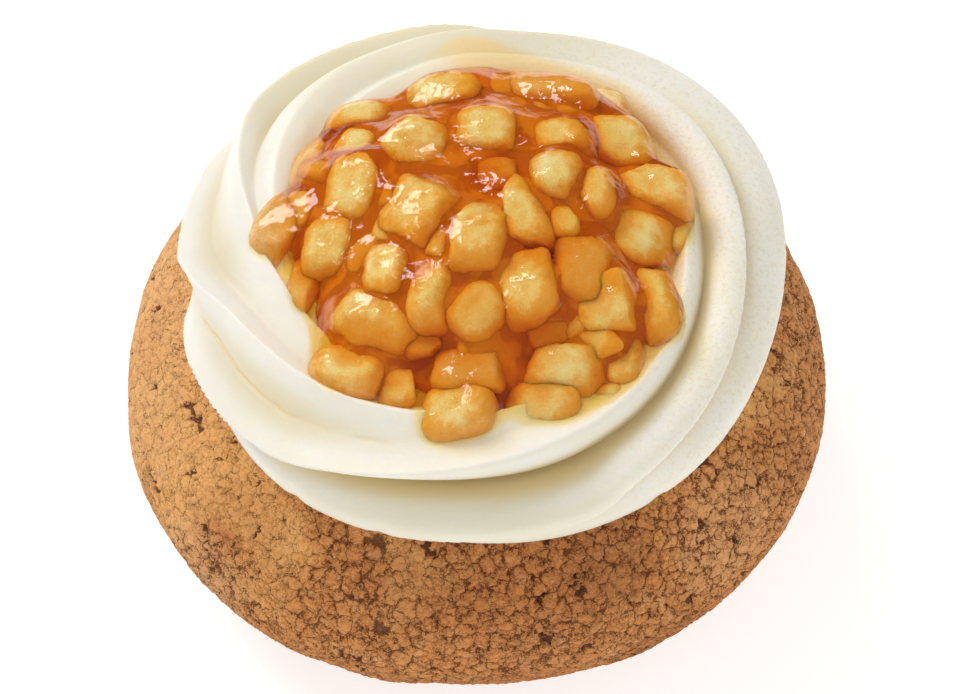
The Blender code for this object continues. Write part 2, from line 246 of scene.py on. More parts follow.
def outward(obj):
    """Turns all faces outwards if the closed mesh is inside out."""
    mesh = obj.data
    co = np.empty(len(mesh.vertices) * 3, np.float64)
    mesh.vertices.foreach_get("co", co)
    co = co.reshape(-1, 3)
    mesh.calc_loop_triangles()
    tri = np.empty(len(mesh.loop_triangles) * 3, np.int32)
    mesh.loop_triangles.foreach_get("vertices", tri)
    t = co[tri.reshape(-1, 3)]
    volume = np.einsum("ij,ij->i", t[:, 0], np.cross(t[:, 1], t[:, 2])).sum() / 6
    if volume < 0:
        mesh.flip_normals()
    return abs(volume)


# ================================================================ shader helpers
class Nodes:
    """A small builder that works in a material's tree and in a Geometry Nodes tree."""

    def __init__(self, tree):
        self.tree = tree

    def new(self, kind, inputs=None, **props):
        node = self.tree.nodes.new(kind)
        for key, value in props.items():
            setattr(node, key, value)
        for key, value in (inputs or {}).items():
            self.put(node.inputs[key], value)
        return node

    def put(self, socket, value):
        if isinstance(value, bpy.types.NodeSocket):
            self.tree.links.new(value, socket)
        elif value is not None:
            socket.default_value = value

    def math(self, op, a, b=None, c=None, clamp=False):
        node = self.tree.nodes.new("ShaderNodeMath")
        node.operation = op
        node.use_clamp = clamp
        for i, v in enumerate((a, b, c)):
            if v is not None:
                self.put(node.inputs[i], v)
        return node.outputs[0]

    def vec(self, op, a, b=None, scale=None):
        node = self.tree.nodes.new("ShaderNodeVectorMath")
        node.operation = op
        self.put(node.inputs[0], a)
        if b is not None:
            self.put(node.inputs[1], b)
        if scale is not None:
            self.put(node.inputs["Scale"], scale)
        return node.outputs["Value"] if op in ("LENGTH", "DISTANCE", "DOT_PRODUCT") else node.outputs[0]

    def noise(self, vector, scale, detail=2.0, rough=0.5, distort=0.0, colour=False):
        node = self.new("ShaderNodeTexNoise", {"Vector": vector, "Scale": scale, "Detail": detail,
                                               "Roughness": rough, "Distortion": distort})
        return node.outputs["Color" if colour else "Fac"]

    def voronoi(self, vector, scale, feature="DISTANCE_TO_EDGE", randomness=1.0, out="Distance"):
        node = self.tree.nodes.new("ShaderNodeTexVoronoi")
        node.feature = feature
        self.put(node.inputs["Vector"], vector)
        self.put(node.inputs["Scale"], scale)
        self.put(node.inputs["Randomness"], randomness)
        return node.outputs[out]

    def ramp(self, value, a, b, to_a=0.0, to_b=1.0, smooth=True):
        node = self.tree.nodes.new("ShaderNodeMapRange")
        node.interpolation_type = "SMOOTHSTEP" if smooth else "LINEAR"
        for i, v in enumerate((value, a, b, to_a, to_b)):
            self.put(node.inputs[i], v)
        return node.outputs[0]

    def mix(self, fac, a, b, mode="MIX"):
        node = self.tree.nodes.new("ShaderNodeMix")
        node.data_type = "RGBA"
        node.blend_type = mode
        node.clamp_factor = True
        self.put(node.inputs[0], fac)
        self.put(node.inputs[6], a)
        self.put(node.inputs[7], b)
        return node.outputs[2]

    def mixf(self, fac, a, b):
        node = self.tree.nodes.new("ShaderNodeMix")
        node.data_type = "FLOAT"
        self.put(node.inputs[0], fac)
        self.put(node.inputs[2], a)
        self.put(node.inputs[3], b)
        return node.outputs[0]


def srgb(r, g, b):
    """Linear colour from 0 to 255 sRGB values."""
    def one(c):
        c /= 255.0
        return c / 12.92 if c <= 0.04045 else ((c + 0.055) / 1.055) ** 2.4
    return (one(r), one(g), one(b), 1.0)


def new_material(name):
    mat = bpy.data.materials.new(name)
    mat.use_nodes = True
    tree = mat.node_tree
    shader = tree.nodes["Principled BSDF"]
    return mat, Nodes(tree), shader


# ================================================================ bun
def bun_outline(angle):
    return 1.0 + wave_sum(BUN_WAVES, angle)


def bun_side(z):
    z = np.asarray(z, float)
    up = z >= BUN_WIDE_Z
    reach = np.where(up, BUN_UPPER, BUN_LOWER)
    power = np.where(up, BUN_POW_UP, BUN_POW_LOW)
    u = np.clip(np.abs(z - BUN_WIDE_Z) / reach, 0, 1)
    return BUN_R * (1.0 - u**power) ** (1.0 / power)


def bun_top(x, y):
    angle = np.arctan2(y, x)
    r = np.hypot(x, y) / bun_outline(angle) / BUN_R
    return BUN_WIDE_Z + BUN_UPPER * (1.0 - np.clip(r, 0, 0.999) ** BUN_POW_UP) ** (1.0 / BUN_POW_UP)


def bun_curve():
    """Dense (radius, height) profile from the crown to the foot's edge."""
    a = np.radians(np.linspace(90, 0, 400))
    upper = np.stack([BUN_R * np.cos(a) ** (2 / BUN_POW_UP),
                      BUN_WIDE_Z + BUN_UPPER * np.sin(a) ** (2 / BUN_POW_UP)], -1)
    z = np.linspace(BUN_WIDE_Z, BUN_FOOT_Z, 80)[1:]
    lower = np.stack([bun_side(z), z], -1)
    r0, z0 = lower[-1]
    dr = float(bun_side(z0 + 0.1) - bun_side(z0 - 0.1)) / 0.2
    length = math.hypot(dr, 1.0)
    p0 = np.array([r0, z0])
    p1 = p0 - 8.0 * np.array([dr, 1.0]) / length
    p2 = np.array([BUN_FOOT_R + 4.5, 0.0])
    p3 = np.array([BUN_FOOT_R, 0.0])
    t = np.linspace(0, 1, 120)[1:, None]
    foot = (1 - t)**3 * p0 + 3 * t * (1 - t)**2 * p1 + 3 * t * t * (1 - t) * p2 + t**3 * p3
    return np.vstack([upper, lower, foot])


def make_bun():
    curve = bun_curve()
    arc = np.concatenate([[0], np.cumsum(np.hypot(*np.diff(curve, axis=0).T))])
    # rows: coarse over the crown that the cream hides, fine from there to the foot
    hidden = arc[np.searchsorted(curve[:, 0], 25.0)]
    marks = np.concatenate([np.linspace(0.6, hidden, 7)[:-1], np.linspace(hidden, arc[-1], 122)])
    r = np.interp(marks, arc, curve[:, 0])
    z = np.interp(marks, arc, curve[:, 1])
    r = np.concatenate([r, [BUN_FOOT_R * 0.9, BUN_FOOT_R * 0.5, BUN_FOOT_R * 0.12]])
    z = np.concatenate([z, [0.0, 0.0, 0.0]])
    cols = 744
    angle = np.linspace(0, 2 * math.pi, cols, endpoint=False)
    R = r[:, None] * bun_outline(angle)[None]
    swell = 0.35 * np.sin(3 * angle[None] + 0.12 * z[:, None]) * np.sin(math.pi * np.clip(z / 28.0, 0, 1))[:, None]
    R = R + np.where(r[:, None] > 8, swell, 0)
    P = np.stack([R * np.cos(angle), R * np.sin(angle), np.broadcast_to(z[:, None], R.shape)], -1)
    # soft dents and swellings of baked dough
    flat = P.reshape(-1, 3)
    lump = fbm(flat / 13.0, 5, 2) * 0.55 + fbm(flat / 5.0, 9, 2) * 0.14
    fade = (smoothstep(1.0, 6.0, flat[:, 2]) * smoothstep(41.0, 34.0, flat[:, 2]))
    out = flat / np.linalg.norm(flat - [0, 0, 15], axis=1, keepdims=True)
    out = (flat - [0, 0, 15]) / np.linalg.norm(flat - [0, 0, 15], axis=1, keepdims=True)
    flat = flat + out * (lump * fade)[:, None]
    verts = np.vstack([flat, [[0, 0, BUN_WIDE_Z + BUN_UPPER], [0, 0, 0]]])
    rows = len(r)
    quads = grid_faces(rows, cols)
    top, base = len(flat), len(flat) + 1
    j = np.arange(cols)
    caps = [(top, (b + 1) % cols, b) for b in j.tolist()]
    last = (rows - 1) * cols
    caps += [(base, last + b, last + (b + 1) % cols) for b in j.tolist()]
    mesh = bpy.data.meshes.new("choux_crust")
    mesh.from_pydata(to_frame(verts).tolist(), [], quads[:, ::-1].tolist() + caps)
    mesh.validate()
    mesh.shade_smooth()
    obj = bpy.data.objects.new("choux_crust", mesh)
    scene.collection.objects.link(obj)
    set_attribute(obj, "rest", verts, "FLOAT_VECTOR")
    return obj


def crust_pattern(n, p):
    """Crack and pit fields of the crust at a point p in mm; the same in both kinds of tree.

    Returns (height in mm, crack 0..1, pit 0..1, share of burst crust 0..1 that the colour also uses as painted shade,
    lobes 0..1)."""
    sep = n.tree.nodes.new("ShaderNodeSeparateXYZ")
    n.put(sep.inputs[0], p)
    # flakes lie flatter near the foot
    low = n.math("MULTIPLY", n.ramp(sep.outputs[2], 17.0, 5.0), -9.0)
    down = n.tree.nodes.new("ShaderNodeCombineXYZ")
    n.put(down.inputs[2], low)
    p0 = n.vec("ADD", p, down.outputs[0])
    wide = n.noise(p0, 0.5, 2.0, 0.5, colour=True)
    mid = n.noise(p0, 1.5, 3.0, 0.65, colour=True)
    fine = n.noise(p0, 4.2, 2.0, 0.6, colour=True)
    q = n.vec("ADD", p0, n.vec("SCALE", n.vec("SUBTRACT", wide, (0.5, 0.5, 0.5)), scale=1.1))
    q = n.vec("ADD", q, n.vec("SCALE", n.vec("SUBTRACT", mid, (0.5, 0.5, 0.5)), scale=1.35))
    q = n.vec("ADD", q, n.vec("SCALE", n.vec("SUBTRACT", fine, (0.5, 0.5, 0.5)), scale=0.42))
    # the crust has burst more towards the front and right than on the left; the crust's colour uses this share also as
    # painted shade on those sides
    side = n.vec("DOT_PRODUCT", p, (0.0045, -0.0062, -0.0040))
    side = n.math("ADD", side, n.ramp(n.vec("DOT_PRODUCT", p, (-0.6, -0.8, -0.3)), 24.0, 33.0, 0.0, 0.11))
    burst_and_shade = n.ramp(n.math("ADD", n.noise(p, 0.085, 2.0, 0.5), side), 0.35, 0.57)
    edge1 = n.voronoi(q, 0.58)
    q2 = n.vec("ADD", q, (31.0, 7.0, 3.0))
    edge2 = n.voronoi(q2, 1.1)
    # cracks open and close along their length
    open1 = n.ramp(n.noise(p, 0.50, 2.0, 0.6), 0.33, 0.72, 0.0, 0.078, smooth=False)
    open1 = n.math("MULTIPLY", open1, n.mixf(burst_and_shade, 0.22, 1.0))
    width1 = n.math("ADD", open1, 0.008)
    thin1 = n.math("SUBTRACT", 1.0, n.ramp(n.math("DIVIDE", edge1, width1), 0.50, 1.0))
    open2 = n.ramp(n.noise(n.vec("ADD", p, (9.0, 4.0, 1.0)), 0.60, 2.0, 0.6), 0.43, 0.74, 0.003, 0.080, smooth=False)
    open2 = n.math("MULTIPLY", open2, n.mixf(burst_and_shade, 0.38, 1.0))
    thin2 = n.math("SUBTRACT", 1.0, n.ramp(n.math("DIVIDE", edge2, open2), 0.45, 1.0))
    crack = n.math("MAXIMUM", thin1, n.math("MULTIPLY", thin2, 0.85))
    # here and there they gape into small stars
    star = n.ramp(n.noise(n.vec("ADD", p, (5.0, 2.0, 8.0)), 0.30, 1.0, 0.5), 0.65, 0.76, 0.0, 0.23)
    star = n.math("ADD", n.math("MULTIPLY", star, n.mixf(burst_and_shade, 0.75, 1.0)), 0.002)
    gape = n.math("SUBTRACT", 1.0, n.ramp(n.math("DIVIDE", edge1, star), 0.55, 1.0))
    # or a whole flake is gone
    pick = n.voronoi(q, 0.58, "F1", out="Color")
    sep2 = n.tree.nodes.new("ShaderNodeSeparateXYZ")
    n.put(sep2.inputs[0], pick)
    rare = n.ramp(n.noise(n.vec("ADD", p, (2.0, 6.0, 4.0)), 0.11, 1.0, 0.5), 0.52, 0.68, 1.0, 0.982)
    gone = n.math("GREATER_THAN", sep2.outputs[0], rare)
    pit = n.math("MAXIMUM", n.math("MULTIPLY", gone, n.ramp(edge1, 0.0, 0.10)), gape)
    # flat flakes with lobed edges, rounded off towards their cracks
    dome1 = n.ramp(edge1, 0.0, 0.20)
    dome2 = n.ramp(edge2, 0.0, 0.22)
    lobes = n.noise(p0, 1.7, 3.0, 0.62)
    height = n.math("MULTIPLY", n.math("ADD", dome1, n.math("MULTIPLY", dome2, 0.7)), n.mixf(burst_and_shade, 0.06, 0.12))
    height = n.math("SUBTRACT", height, n.math("MULTIPLY", thin1, n.mixf(burst_and_shade, 0.12, 0.20)))
    height = n.math("SUBTRACT", height, n.math("MULTIPLY", thin2, 0.11))
    height = n.math("SUBTRACT", height, n.math("MULTIPLY", pit, 0.42))
    height = n.math("ADD", height, n.math("MULTIPLY", n.math("SUBTRACT", lobes, 0.5), 0.30))
    return height, crack, pit, burst_and_shade, lobes


def relieve_bun(obj):
    """Pushes the crust's surface in and out by the crack pattern, once, in the mesh itself."""
    group = bpy.data.node_groups.new("crust_relief", "GeometryNodeTree")
    group.interface.new_socket("Geometry", in_out="INPUT", socket_type="NodeSocketGeometry")
    group.interface.new_socket("Geometry", in_out="OUTPUT", socket_type="NodeSocketGeometry")
    n = Nodes(group)
    start = group.nodes.new("NodeGroupInput")
    end = group.nodes.new("NodeGroupOutput")
    att = group.nodes.new("GeometryNodeInputNamedAttribute")
    att.data_type = "FLOAT_VECTOR"
    att.inputs["Name"].default_value = "rest"
    p = att.outputs["Attribute"]
    height, crack, pit, burst_and_shade, lobes = crust_pattern(n, p)
    sep = group.nodes.new("ShaderNodeSeparateXYZ")
    n.put(sep.inputs[0], p)
    foot = n.ramp(sep.outputs[2], 0.6, 3.0)
    normal = group.nodes.new("GeometryNodeInputNormal")
    push = n.vec("SCALE", normal.outputs[0],
                 scale=n.math("MULTIPLY", n.math("MULTIPLY", height, foot), MM))
    move = group.nodes.new("GeometryNodeSetPosition")
    group.links.new(start.outputs[0], move.inputs["Geometry"])
    group.links.new(push, move.inputs["Offset"])
    group.links.new(move.outputs[0], end.inputs[0])
    mod = obj.modifiers.new("relief", "NODES")
    mod.node_group = group
    bpy.context.view_layer.update()
    graph = bpy.context.evaluated_depsgraph_get()
    mesh = bpy.data.meshes.new_from_object(obj.evaluated_get(graph), preserve_all_data_layers=True, depsgraph=graph)
    obj.modifiers.clear()
    obj.data = mesh
    mesh.name = "choux_crust"
    bpy.data.node_groups.remove(group)


# patches of browning mixed with painted shade and painted light: middle in mm, reach in mm, how much, colour
BROWNING_AND_PAINTED_LIGHT = (((-25.0, -26.0, 24.0), 9.0, 0.30, (186, 108, 56)),
            ((-29.5, -25.0, 16.0), 9.5, 0.42, (255, 204, 148)),
            ((-6.0, -33.0, 27.0), 9.0, 0.30, (176, 100, 54)),
            ((9.0, -34.0, 26.0), 13.0, 0.25, (166, 94, 52)),
            ((27.0, -24.0, 24.0), 9.5, 0.40, (255, 198, 140)),
            ((14.0, -30.0, 27.5), 7.5, 0.28, (150, 84, 48)),
            ((21.0, -33.0, 12.0), 10.0, 0.32, (160, 92, 52)))


def crust_material():
    mat, n, shader = new_material("craquelin_crust")
    att = n.new("ShaderNodeAttribute", attribute_name="rest")
    p = att.outputs["Vector"]
    height, crack, pit, burst_and_shade, lobes = crust_pattern(n, p)
    tone = n.noise(p, 0.09, 3.0, 0.55)
    spot = n.noise(n.vec("ADD", p, (3.0, 8.0, 5.0)), 0.42, 3.0, 0.6)
    grain = n.noise(p, 2.6, 3.0, 0.75)
    speck = n.noise(p, 7.0, 2.0, 0.7)
    # crumbs of a third of a millimetre, most plain where the crust hasn't burst
    loose = n.vec("SCALE", n.vec("SUBTRACT", n.noise(p, 2.4, 2.0, 0.6, colour=True), (0.5, 0.5, 0.5)), scale=0.55)
    crumb = n.voronoi(n.vec("ADD", p, loose), 2.3, "F1")
    crumbly = n.mixf(burst_and_shade, 1.0, 0.45)
    base = n.mix(n.ramp(tone, 0.35, 0.66), srgb(254, 190, 116), srgb(242, 168, 96))
    # painted shade: the burst crust's browner colour darkens the front, the right and low down
    base = n.mix(n.math("MULTIPLY", burst_and_shade, 0.65), base, srgb(216, 134, 72))
    base = n.mix(n.math("MULTIPLY", n.ramp(spot, 0.54, 0.74), 0.6), base, srgb(236, 178, 122))
    base = n.mix(n.math("MULTIPLY", n.ramp(spot, 0.44, 0.28), 0.55), base, srgb(212, 132, 72))
    # painted shade and light: paler on the raised lobes and grain, darker in their dips
    base = n.mix(n.math("MULTIPLY", n.ramp(lobes, 0.50, 0.70), 0.32), base, srgb(248, 188, 128))
    base = n.mix(n.math("MULTIPLY", n.ramp(lobes, 0.48, 0.30), 0.50), base, srgb(196, 114, 58))
    base = n.mix(n.math("MULTIPLY", n.ramp(grain, 0.50, 0.74), 0.40), base, srgb(246, 192, 136))
    base = n.mix(n.math("MULTIPLY", n.ramp(grain, 0.46, 0.26), 0.35), base, srgb(188, 112, 56))
    base = n.mix(n.math("MULTIPLY", n.ramp(speck, 0.60, 0.80), 0.30), base, srgb(250, 206, 156))
    # painted shade in the dips between the crumbs
    base = n.mix(n.math("MULTIPLY", n.ramp(crumb, 0.45, 0.80), n.math("MULTIPLY", crumbly, 0.18)), base, srgb(172, 98, 48))
    sep = n.tree.nodes.new("ShaderNodeSeparateXYZ")
    n.put(sep.inputs[0], p)
    # paler high on the left, and paler towards the right edge as painted rim light from the bright surroundings
    base = n.mix(n.ramp(n.vec("DOT_PRODUCT", p, (-1.0, 0.2, 0.3)), 35.0, 43.0, 0.0, 0.30), base, srgb(255, 208, 152))
    base = n.mix(n.ramp(n.vec("DOT_PRODUCT", p, (1.0, 0.0, 0.0)), 29.0, 38.5, 0.0, 0.32), base, srgb(232, 166, 110))
    # patches darker and paler than the rest: browning, with painted shade on the front and below the cream's front
    # edge, and painted light low on the left and on the right
    for place, reach, much, colour in BROWNING_AND_PAINTED_LIGHT:
        off = n.vec("SUBTRACT", p, place)
        base = n.mix(n.ramp(n.vec("DOT_PRODUCT", off, off), reach * reach, 9.0, 0.0, much), base, srgb(*colour))
    # painted shade: darker towards the foot
    low = n.math("MULTIPLY", n.ramp(sep.outputs[2], 17.0, 2.0, 0.0, 0.74), n.mixf(burst_and_shade, 1.0, 0.70))
    base = n.mix(low, base, srgb(176, 102, 58))
    base = n.mix(n.math("MULTIPLY", crack, 0.80), base, srgb(124, 62, 32))
    base = n.mix(n.math("MULTIPLY", pit, 0.86), base, srgb(122, 74, 58))
    n.put(shader.inputs["Base Color"], base)
    n.put(shader.inputs["Roughness"], n.ramp(grain, 0.3, 0.7, 0.80, 0.92))
    fine = n.math("ADD", n.math("MULTIPLY", grain, 0.22), n.math("MULTIPLY", speck, 0.06))
    fine = n.math("SUBTRACT", fine, n.math("MULTIPLY", n.ramp(crumb, 0.10, 0.80, smooth=False), n.math("MULTIPLY", crumbly, 0.13)))
    bump = n.new("ShaderNodeBump", {"Height": n.math("ADD", height, fine), "Distance": MM, "Strength": 0.9})
    n.put(shader.inputs["Normal"], bump.outputs[0])
    shader.inputs["Specular IOR Level"].default_value = 0.22
    return mat


# ================================================================ cream
HEAP_CX, HEAP_CY = 0.6, -0.8
HEAP_R = 23.7
HEAP_R_WAVES = ((1, 0.5, 282.0), (2, 0.8, 198.0), (3, 0.65, 138.0), (5, 0.45, 94.0), (8, 0.7, 30.0))
HEAP_BASE_Z = 47.6
HEAP_TOP_Z = 55.6


# for the valley on the inner side of each crest: where it is deepest, from the
# crest (0) to the next one in (1), how deep, and how far each of its two flanks
# goes from a sharp crest and a round floor (0) to a round crest and a crease (1)
VALLEYS = ((0.30, 1.70, 0.35, 0.75), (0.34, 0.95, 0.10, 0.30), (0.52, 0.80, 0.10, 0.10),
           (0.66, 1.75, 1.00, 1.00), (0.80, 1.00, 0.90, 0.30))


def groove_parts(ring_deg, section_deg):
    """The rope's surface between its crests: (share of the rope's half-size, place between
    two crests 0..1, their spacing in degrees, the outer crest's number)."""
    rows, names = [], []
    for number, (start, pairs) in enumerate(CRESTS):
        xs, ys = [p[0] for p in pairs], [p[1] for p in pairs]
        for turn in (-1, 0, 1):
            age = (ring_deg - start + 180) % 360 - 180 + 360 * turn
            rows.append(smooth_curve(age, xs, ys))
            names.append(number)
    rows = np.stack(rows, -1)
    order = np.argsort(rows, -1)
    crests = np.take_along_axis(rows, order, -1)
    names = np.array(names)[order]
    k = np.clip((crests <= section_deg[..., None]).sum(-1), 1, crests.shape[-1] - 1)
    low = np.take_along_axis(crests, (k - 1)[..., None], -1)[..., 0]
    high = np.take_along_axis(crests, k[..., None], -1)[..., 0]
    name = np.take_along_axis(names, (k - 1)[..., None], -1)[..., 0]
    place, depth, outer, inner = [np.array(v)[name] for v in zip(*VALLEYS)]
    # the long crease lies close under the third crest in front and opens to the right
    turn = (ring_deg - 200.0) % 360.0 + 200.0
    place = np.where(name == 3, 0.92 - 0.30 * smoothstep(225.0, 285.0, turn), place)
    width = np.maximum(high - low, 1e-3)
    t = np.clip((section_deg - low) / width, 0, 1)
    v = np.where(t < place, t / place, (1 - t) / (1 - place))
    v = 1.05 - np.sqrt((1 - v) ** 2 + 0.05**2)
    kind = np.where(t < place, outer, inner)
    crease = np.clip(v, 0, 1.05) ** np.where((name == 3) & (t < place), 2.6, 1.8)
    bowl = (1 - (1 - np.clip(v, 0, 1)) ** 2) * (1 - kind) + crease * kind
    bowl = np.sqrt(bowl**2 + CREST_SOFT**2) - CREST_SOFT
    deep = np.clip(width / 55.0, 0, 1.25) * depth
    return 1 - GROOVE * deep * bowl, t, width, name


def rope_point(angle, section, share):
    r = RING_R + wave_sum(RING_R_WAVES, angle) + ROPE_A * share * np.cos(section)
    z = RING_Z + wave_sum(RING_Z_WAVES, angle) + ROPE_B * share * np.sin(section)
    turn = (np.degrees(angle) - BACK_LIFT[1] + 180) % 360 - 180
    z = z + BACK_LIFT[0] * np.exp(-((turn / BACK_LIFT[2]) ** 2))
    return r, z


def ring_xy(r, angle):
    return RING_CX + r * np.cos(angle), RING_CY + r * np.sin(angle)


def floor_z(r):
    return FLOOR_Z + FLOOR_DISH * np.clip(r / 16.0, 0, 1) ** 2


def make_cream():
    cols, arc_rows = 640, 138
    angle = np.linspace(0, 2 * math.pi, cols, endpoint=False)
    deg = np.degrees(angle)
    # where the rope meets the bun outside and the well's floor inside
    scan = np.arange(-84.0, 1.0, 1.0)
    A, S = np.meshgrid(angle, scan, indexing="ij")
    share = groove_parts(np.degrees(A), S)[0]
    r, z = rope_point(A, np.radians(S), share)
    x, y = ring_xy(r, A)
    blocked = z <= bun_top(x, y) + 0.3
    low = np.array([scan[min(np.where(b)[0].max() + 1, len(scan) - 1)] if b.any() else scan[0] for b in blocked])
    scan = np.arange(95.0, 200.0, 1.0)
    A, S = np.meshgrid(angle, scan, indexing="ij")
    share = groove_parts(np.degrees(A), S)[0]
    r, z = rope_point(A, np.radians(S), share)
    under = z < floor_z(r) + 0.2
    high = np.array([scan[np.where(u)[0].min()] if u.any() else scan[-1] for u in under])
    kernel = np.hanning(21)
    kernel /= kernel.sum()
    low = np.convolve(np.concatenate([low[-10:], low, low[:10]]), kernel, "valid")
    high = np.convolve(np.concatenate([high[-10:], high, high[:10]]), kernel, "valid")
    # rows from the inside over the top to the outside
    f = np.linspace(0, 1, arc_rows)[:, None]
    section = high[None] * (1 - f) + low[None] * f
    A = np.broadcast_to(angle[None], section.shape)
    share, t, width, name = groove_parts(np.degrees(A), section)
    # the piped surface is silk-smooth with faint drag lines along the crests
    u = t * np.clip(width / 55, 0, 1.3)
    along = np.stack([np.cos(A) * 5, np.sin(A) * 5, u * 9], -1)
    drag = fbm(along.reshape(-1, 3), 21, 2).reshape(A.shape)
    share = share + 0.0045 * drag
    # a torn line along the bottom of one valley
    ring = np.degrees(A) % 360
    torn = np.exp(-((t - 0.50 - 0.06 * fbm(np.stack([A * 14, u * 3, 0 * A], -1).reshape(-1, 3), 33, 3).reshape(A.shape))
                    / 0.035) ** 2)
    torn = torn * (name == 2) * smoothstep(176, 196, ring) * smoothstep(262, 236, ring)
    torn = torn * smoothstep(-0.35, 0.35, fbm(np.stack([np.cos(A) * 7, np.sin(A) * 7, 0 * A], -1).reshape(-1, 3), 37, 2)).reshape(A.shape)
    share = share - 0.030 * torn * (0.6 + 0.4 * fbm(np.stack([A * 30, u * 6, 0 * A], -1).reshape(-1, 3), 35, 2).reshape(A.shape))
    for spot in (233.0, 251.0, 305.0):
        off = (ring - spot + 180) % 360 - 180
        share = share - 0.022 * np.exp(-((off / 1.6) ** 2)) * smoothstep(8, -18, section)
    r, z = rope_point(A, np.radians(section), share)
    x, y = ring_xy(r, A)
    P = [np.stack([x, y, z], -1)]
    # the well's floor
    r0 = r[0]
    floor = []
    for s in (0.25, 0.5, 0.72, 0.88):
        xx, yy = ring_xy(r0 * s, angle)
        floor.append(np.stack([xx, yy, floor_z(r0 * s)], -1))
    P.insert(0, np.stack(floor))
    # the underside follows the bun
    foot = r[-1] - 0.8
    under = []
    for s in (1.0, 0.8, 0.5, 0.2):
        xx, yy = ring_xy(foot * s, angle)
        under.append(np.stack([xx, yy, bun_top(xx, yy) - 0.2 if s == 1.0 else bun_top(xx, yy) - 0.6], -1))
    P.append(np.stack(under))
    P = np.concatenate(P)
    rows = len(P)
    flat = P.reshape(-1, 3)
    verts = np.vstack([flat, [[RING_CX, RING_CY, FLOOR_Z], [RING_CX, RING_CY, float(bun_top(RING_CX, RING_CY)) - 0.6]]])
    quads = grid_faces(rows, cols)
    top, base = len(flat), len(flat) + 1
    last = (rows - 1) * cols
    caps = [(top, j, (j + 1) % cols) for j in range(cols)]
    caps += [(base, last + (j + 1) % cols, last + j) for j in range(cols)]
    mesh = bpy.data.meshes.new("cream_swirl_soft")
    mesh.from_pydata(to_frame(verts).tolist(), [], quads[:, ::-1].tolist() + caps)
    mesh.validate()
    mesh.shade_smooth()
    obj = bpy.data.objects.new("cream_swirl_soft", mesh)
    scene.collection.objects.link(obj)
    outward(obj)
    # attributes: depth in the groove
    depth = np.zeros((rows, cols))
    depth[4:4 + arc_rows] = np.clip((1 - share) / GROOVE, 0, 1.3)
    depth[:4] = 0.4
    tear = np.zeros((rows, cols))
    tear[4:4 + arc_rows] = torn
    set_attribute(obj, "rest", verts, "FLOAT_VECTOR")
    set_attribute(obj, "groove", np.concatenate([depth.ravel(), [0.4, 0.4]]))
    # syrup that has run onto the cream, beyond the heap's edge at the back and on the right
    ring_a = np.arctan2(verts[:, 1] - HEAP_CY, verts[:, 0] - HEAP_CX)
    past = np.hypot(verts[:, 0] - HEAP_CX, verts[:, 1] - HEAP_CY) - HEAP_R - wave_sum(HEAP_R_WAVES, ring_a)
    deg_a = np.degrees(ring_a) % 360
    reach = 1.7 * np.exp(-((deg_a - 72) / 30) ** 2) + 2.2 * np.exp(-((deg_a - 30) / 18) ** 2)
    reach = reach * (1 + 0.45 * fbm(verts / 4.0, 51, 2))
    stain = smoothstep(1.0, -0.2, past / np.maximum(reach, 0.3)) * smoothstep(0.2, 1.0, reach)
    set_attribute(obj, "stain", stain * smoothstep(38, 42, verts[:, 2]))
    set_attribute(obj, "torn", np.concatenate([tear.ravel(), [0, 0]]))
    return obj


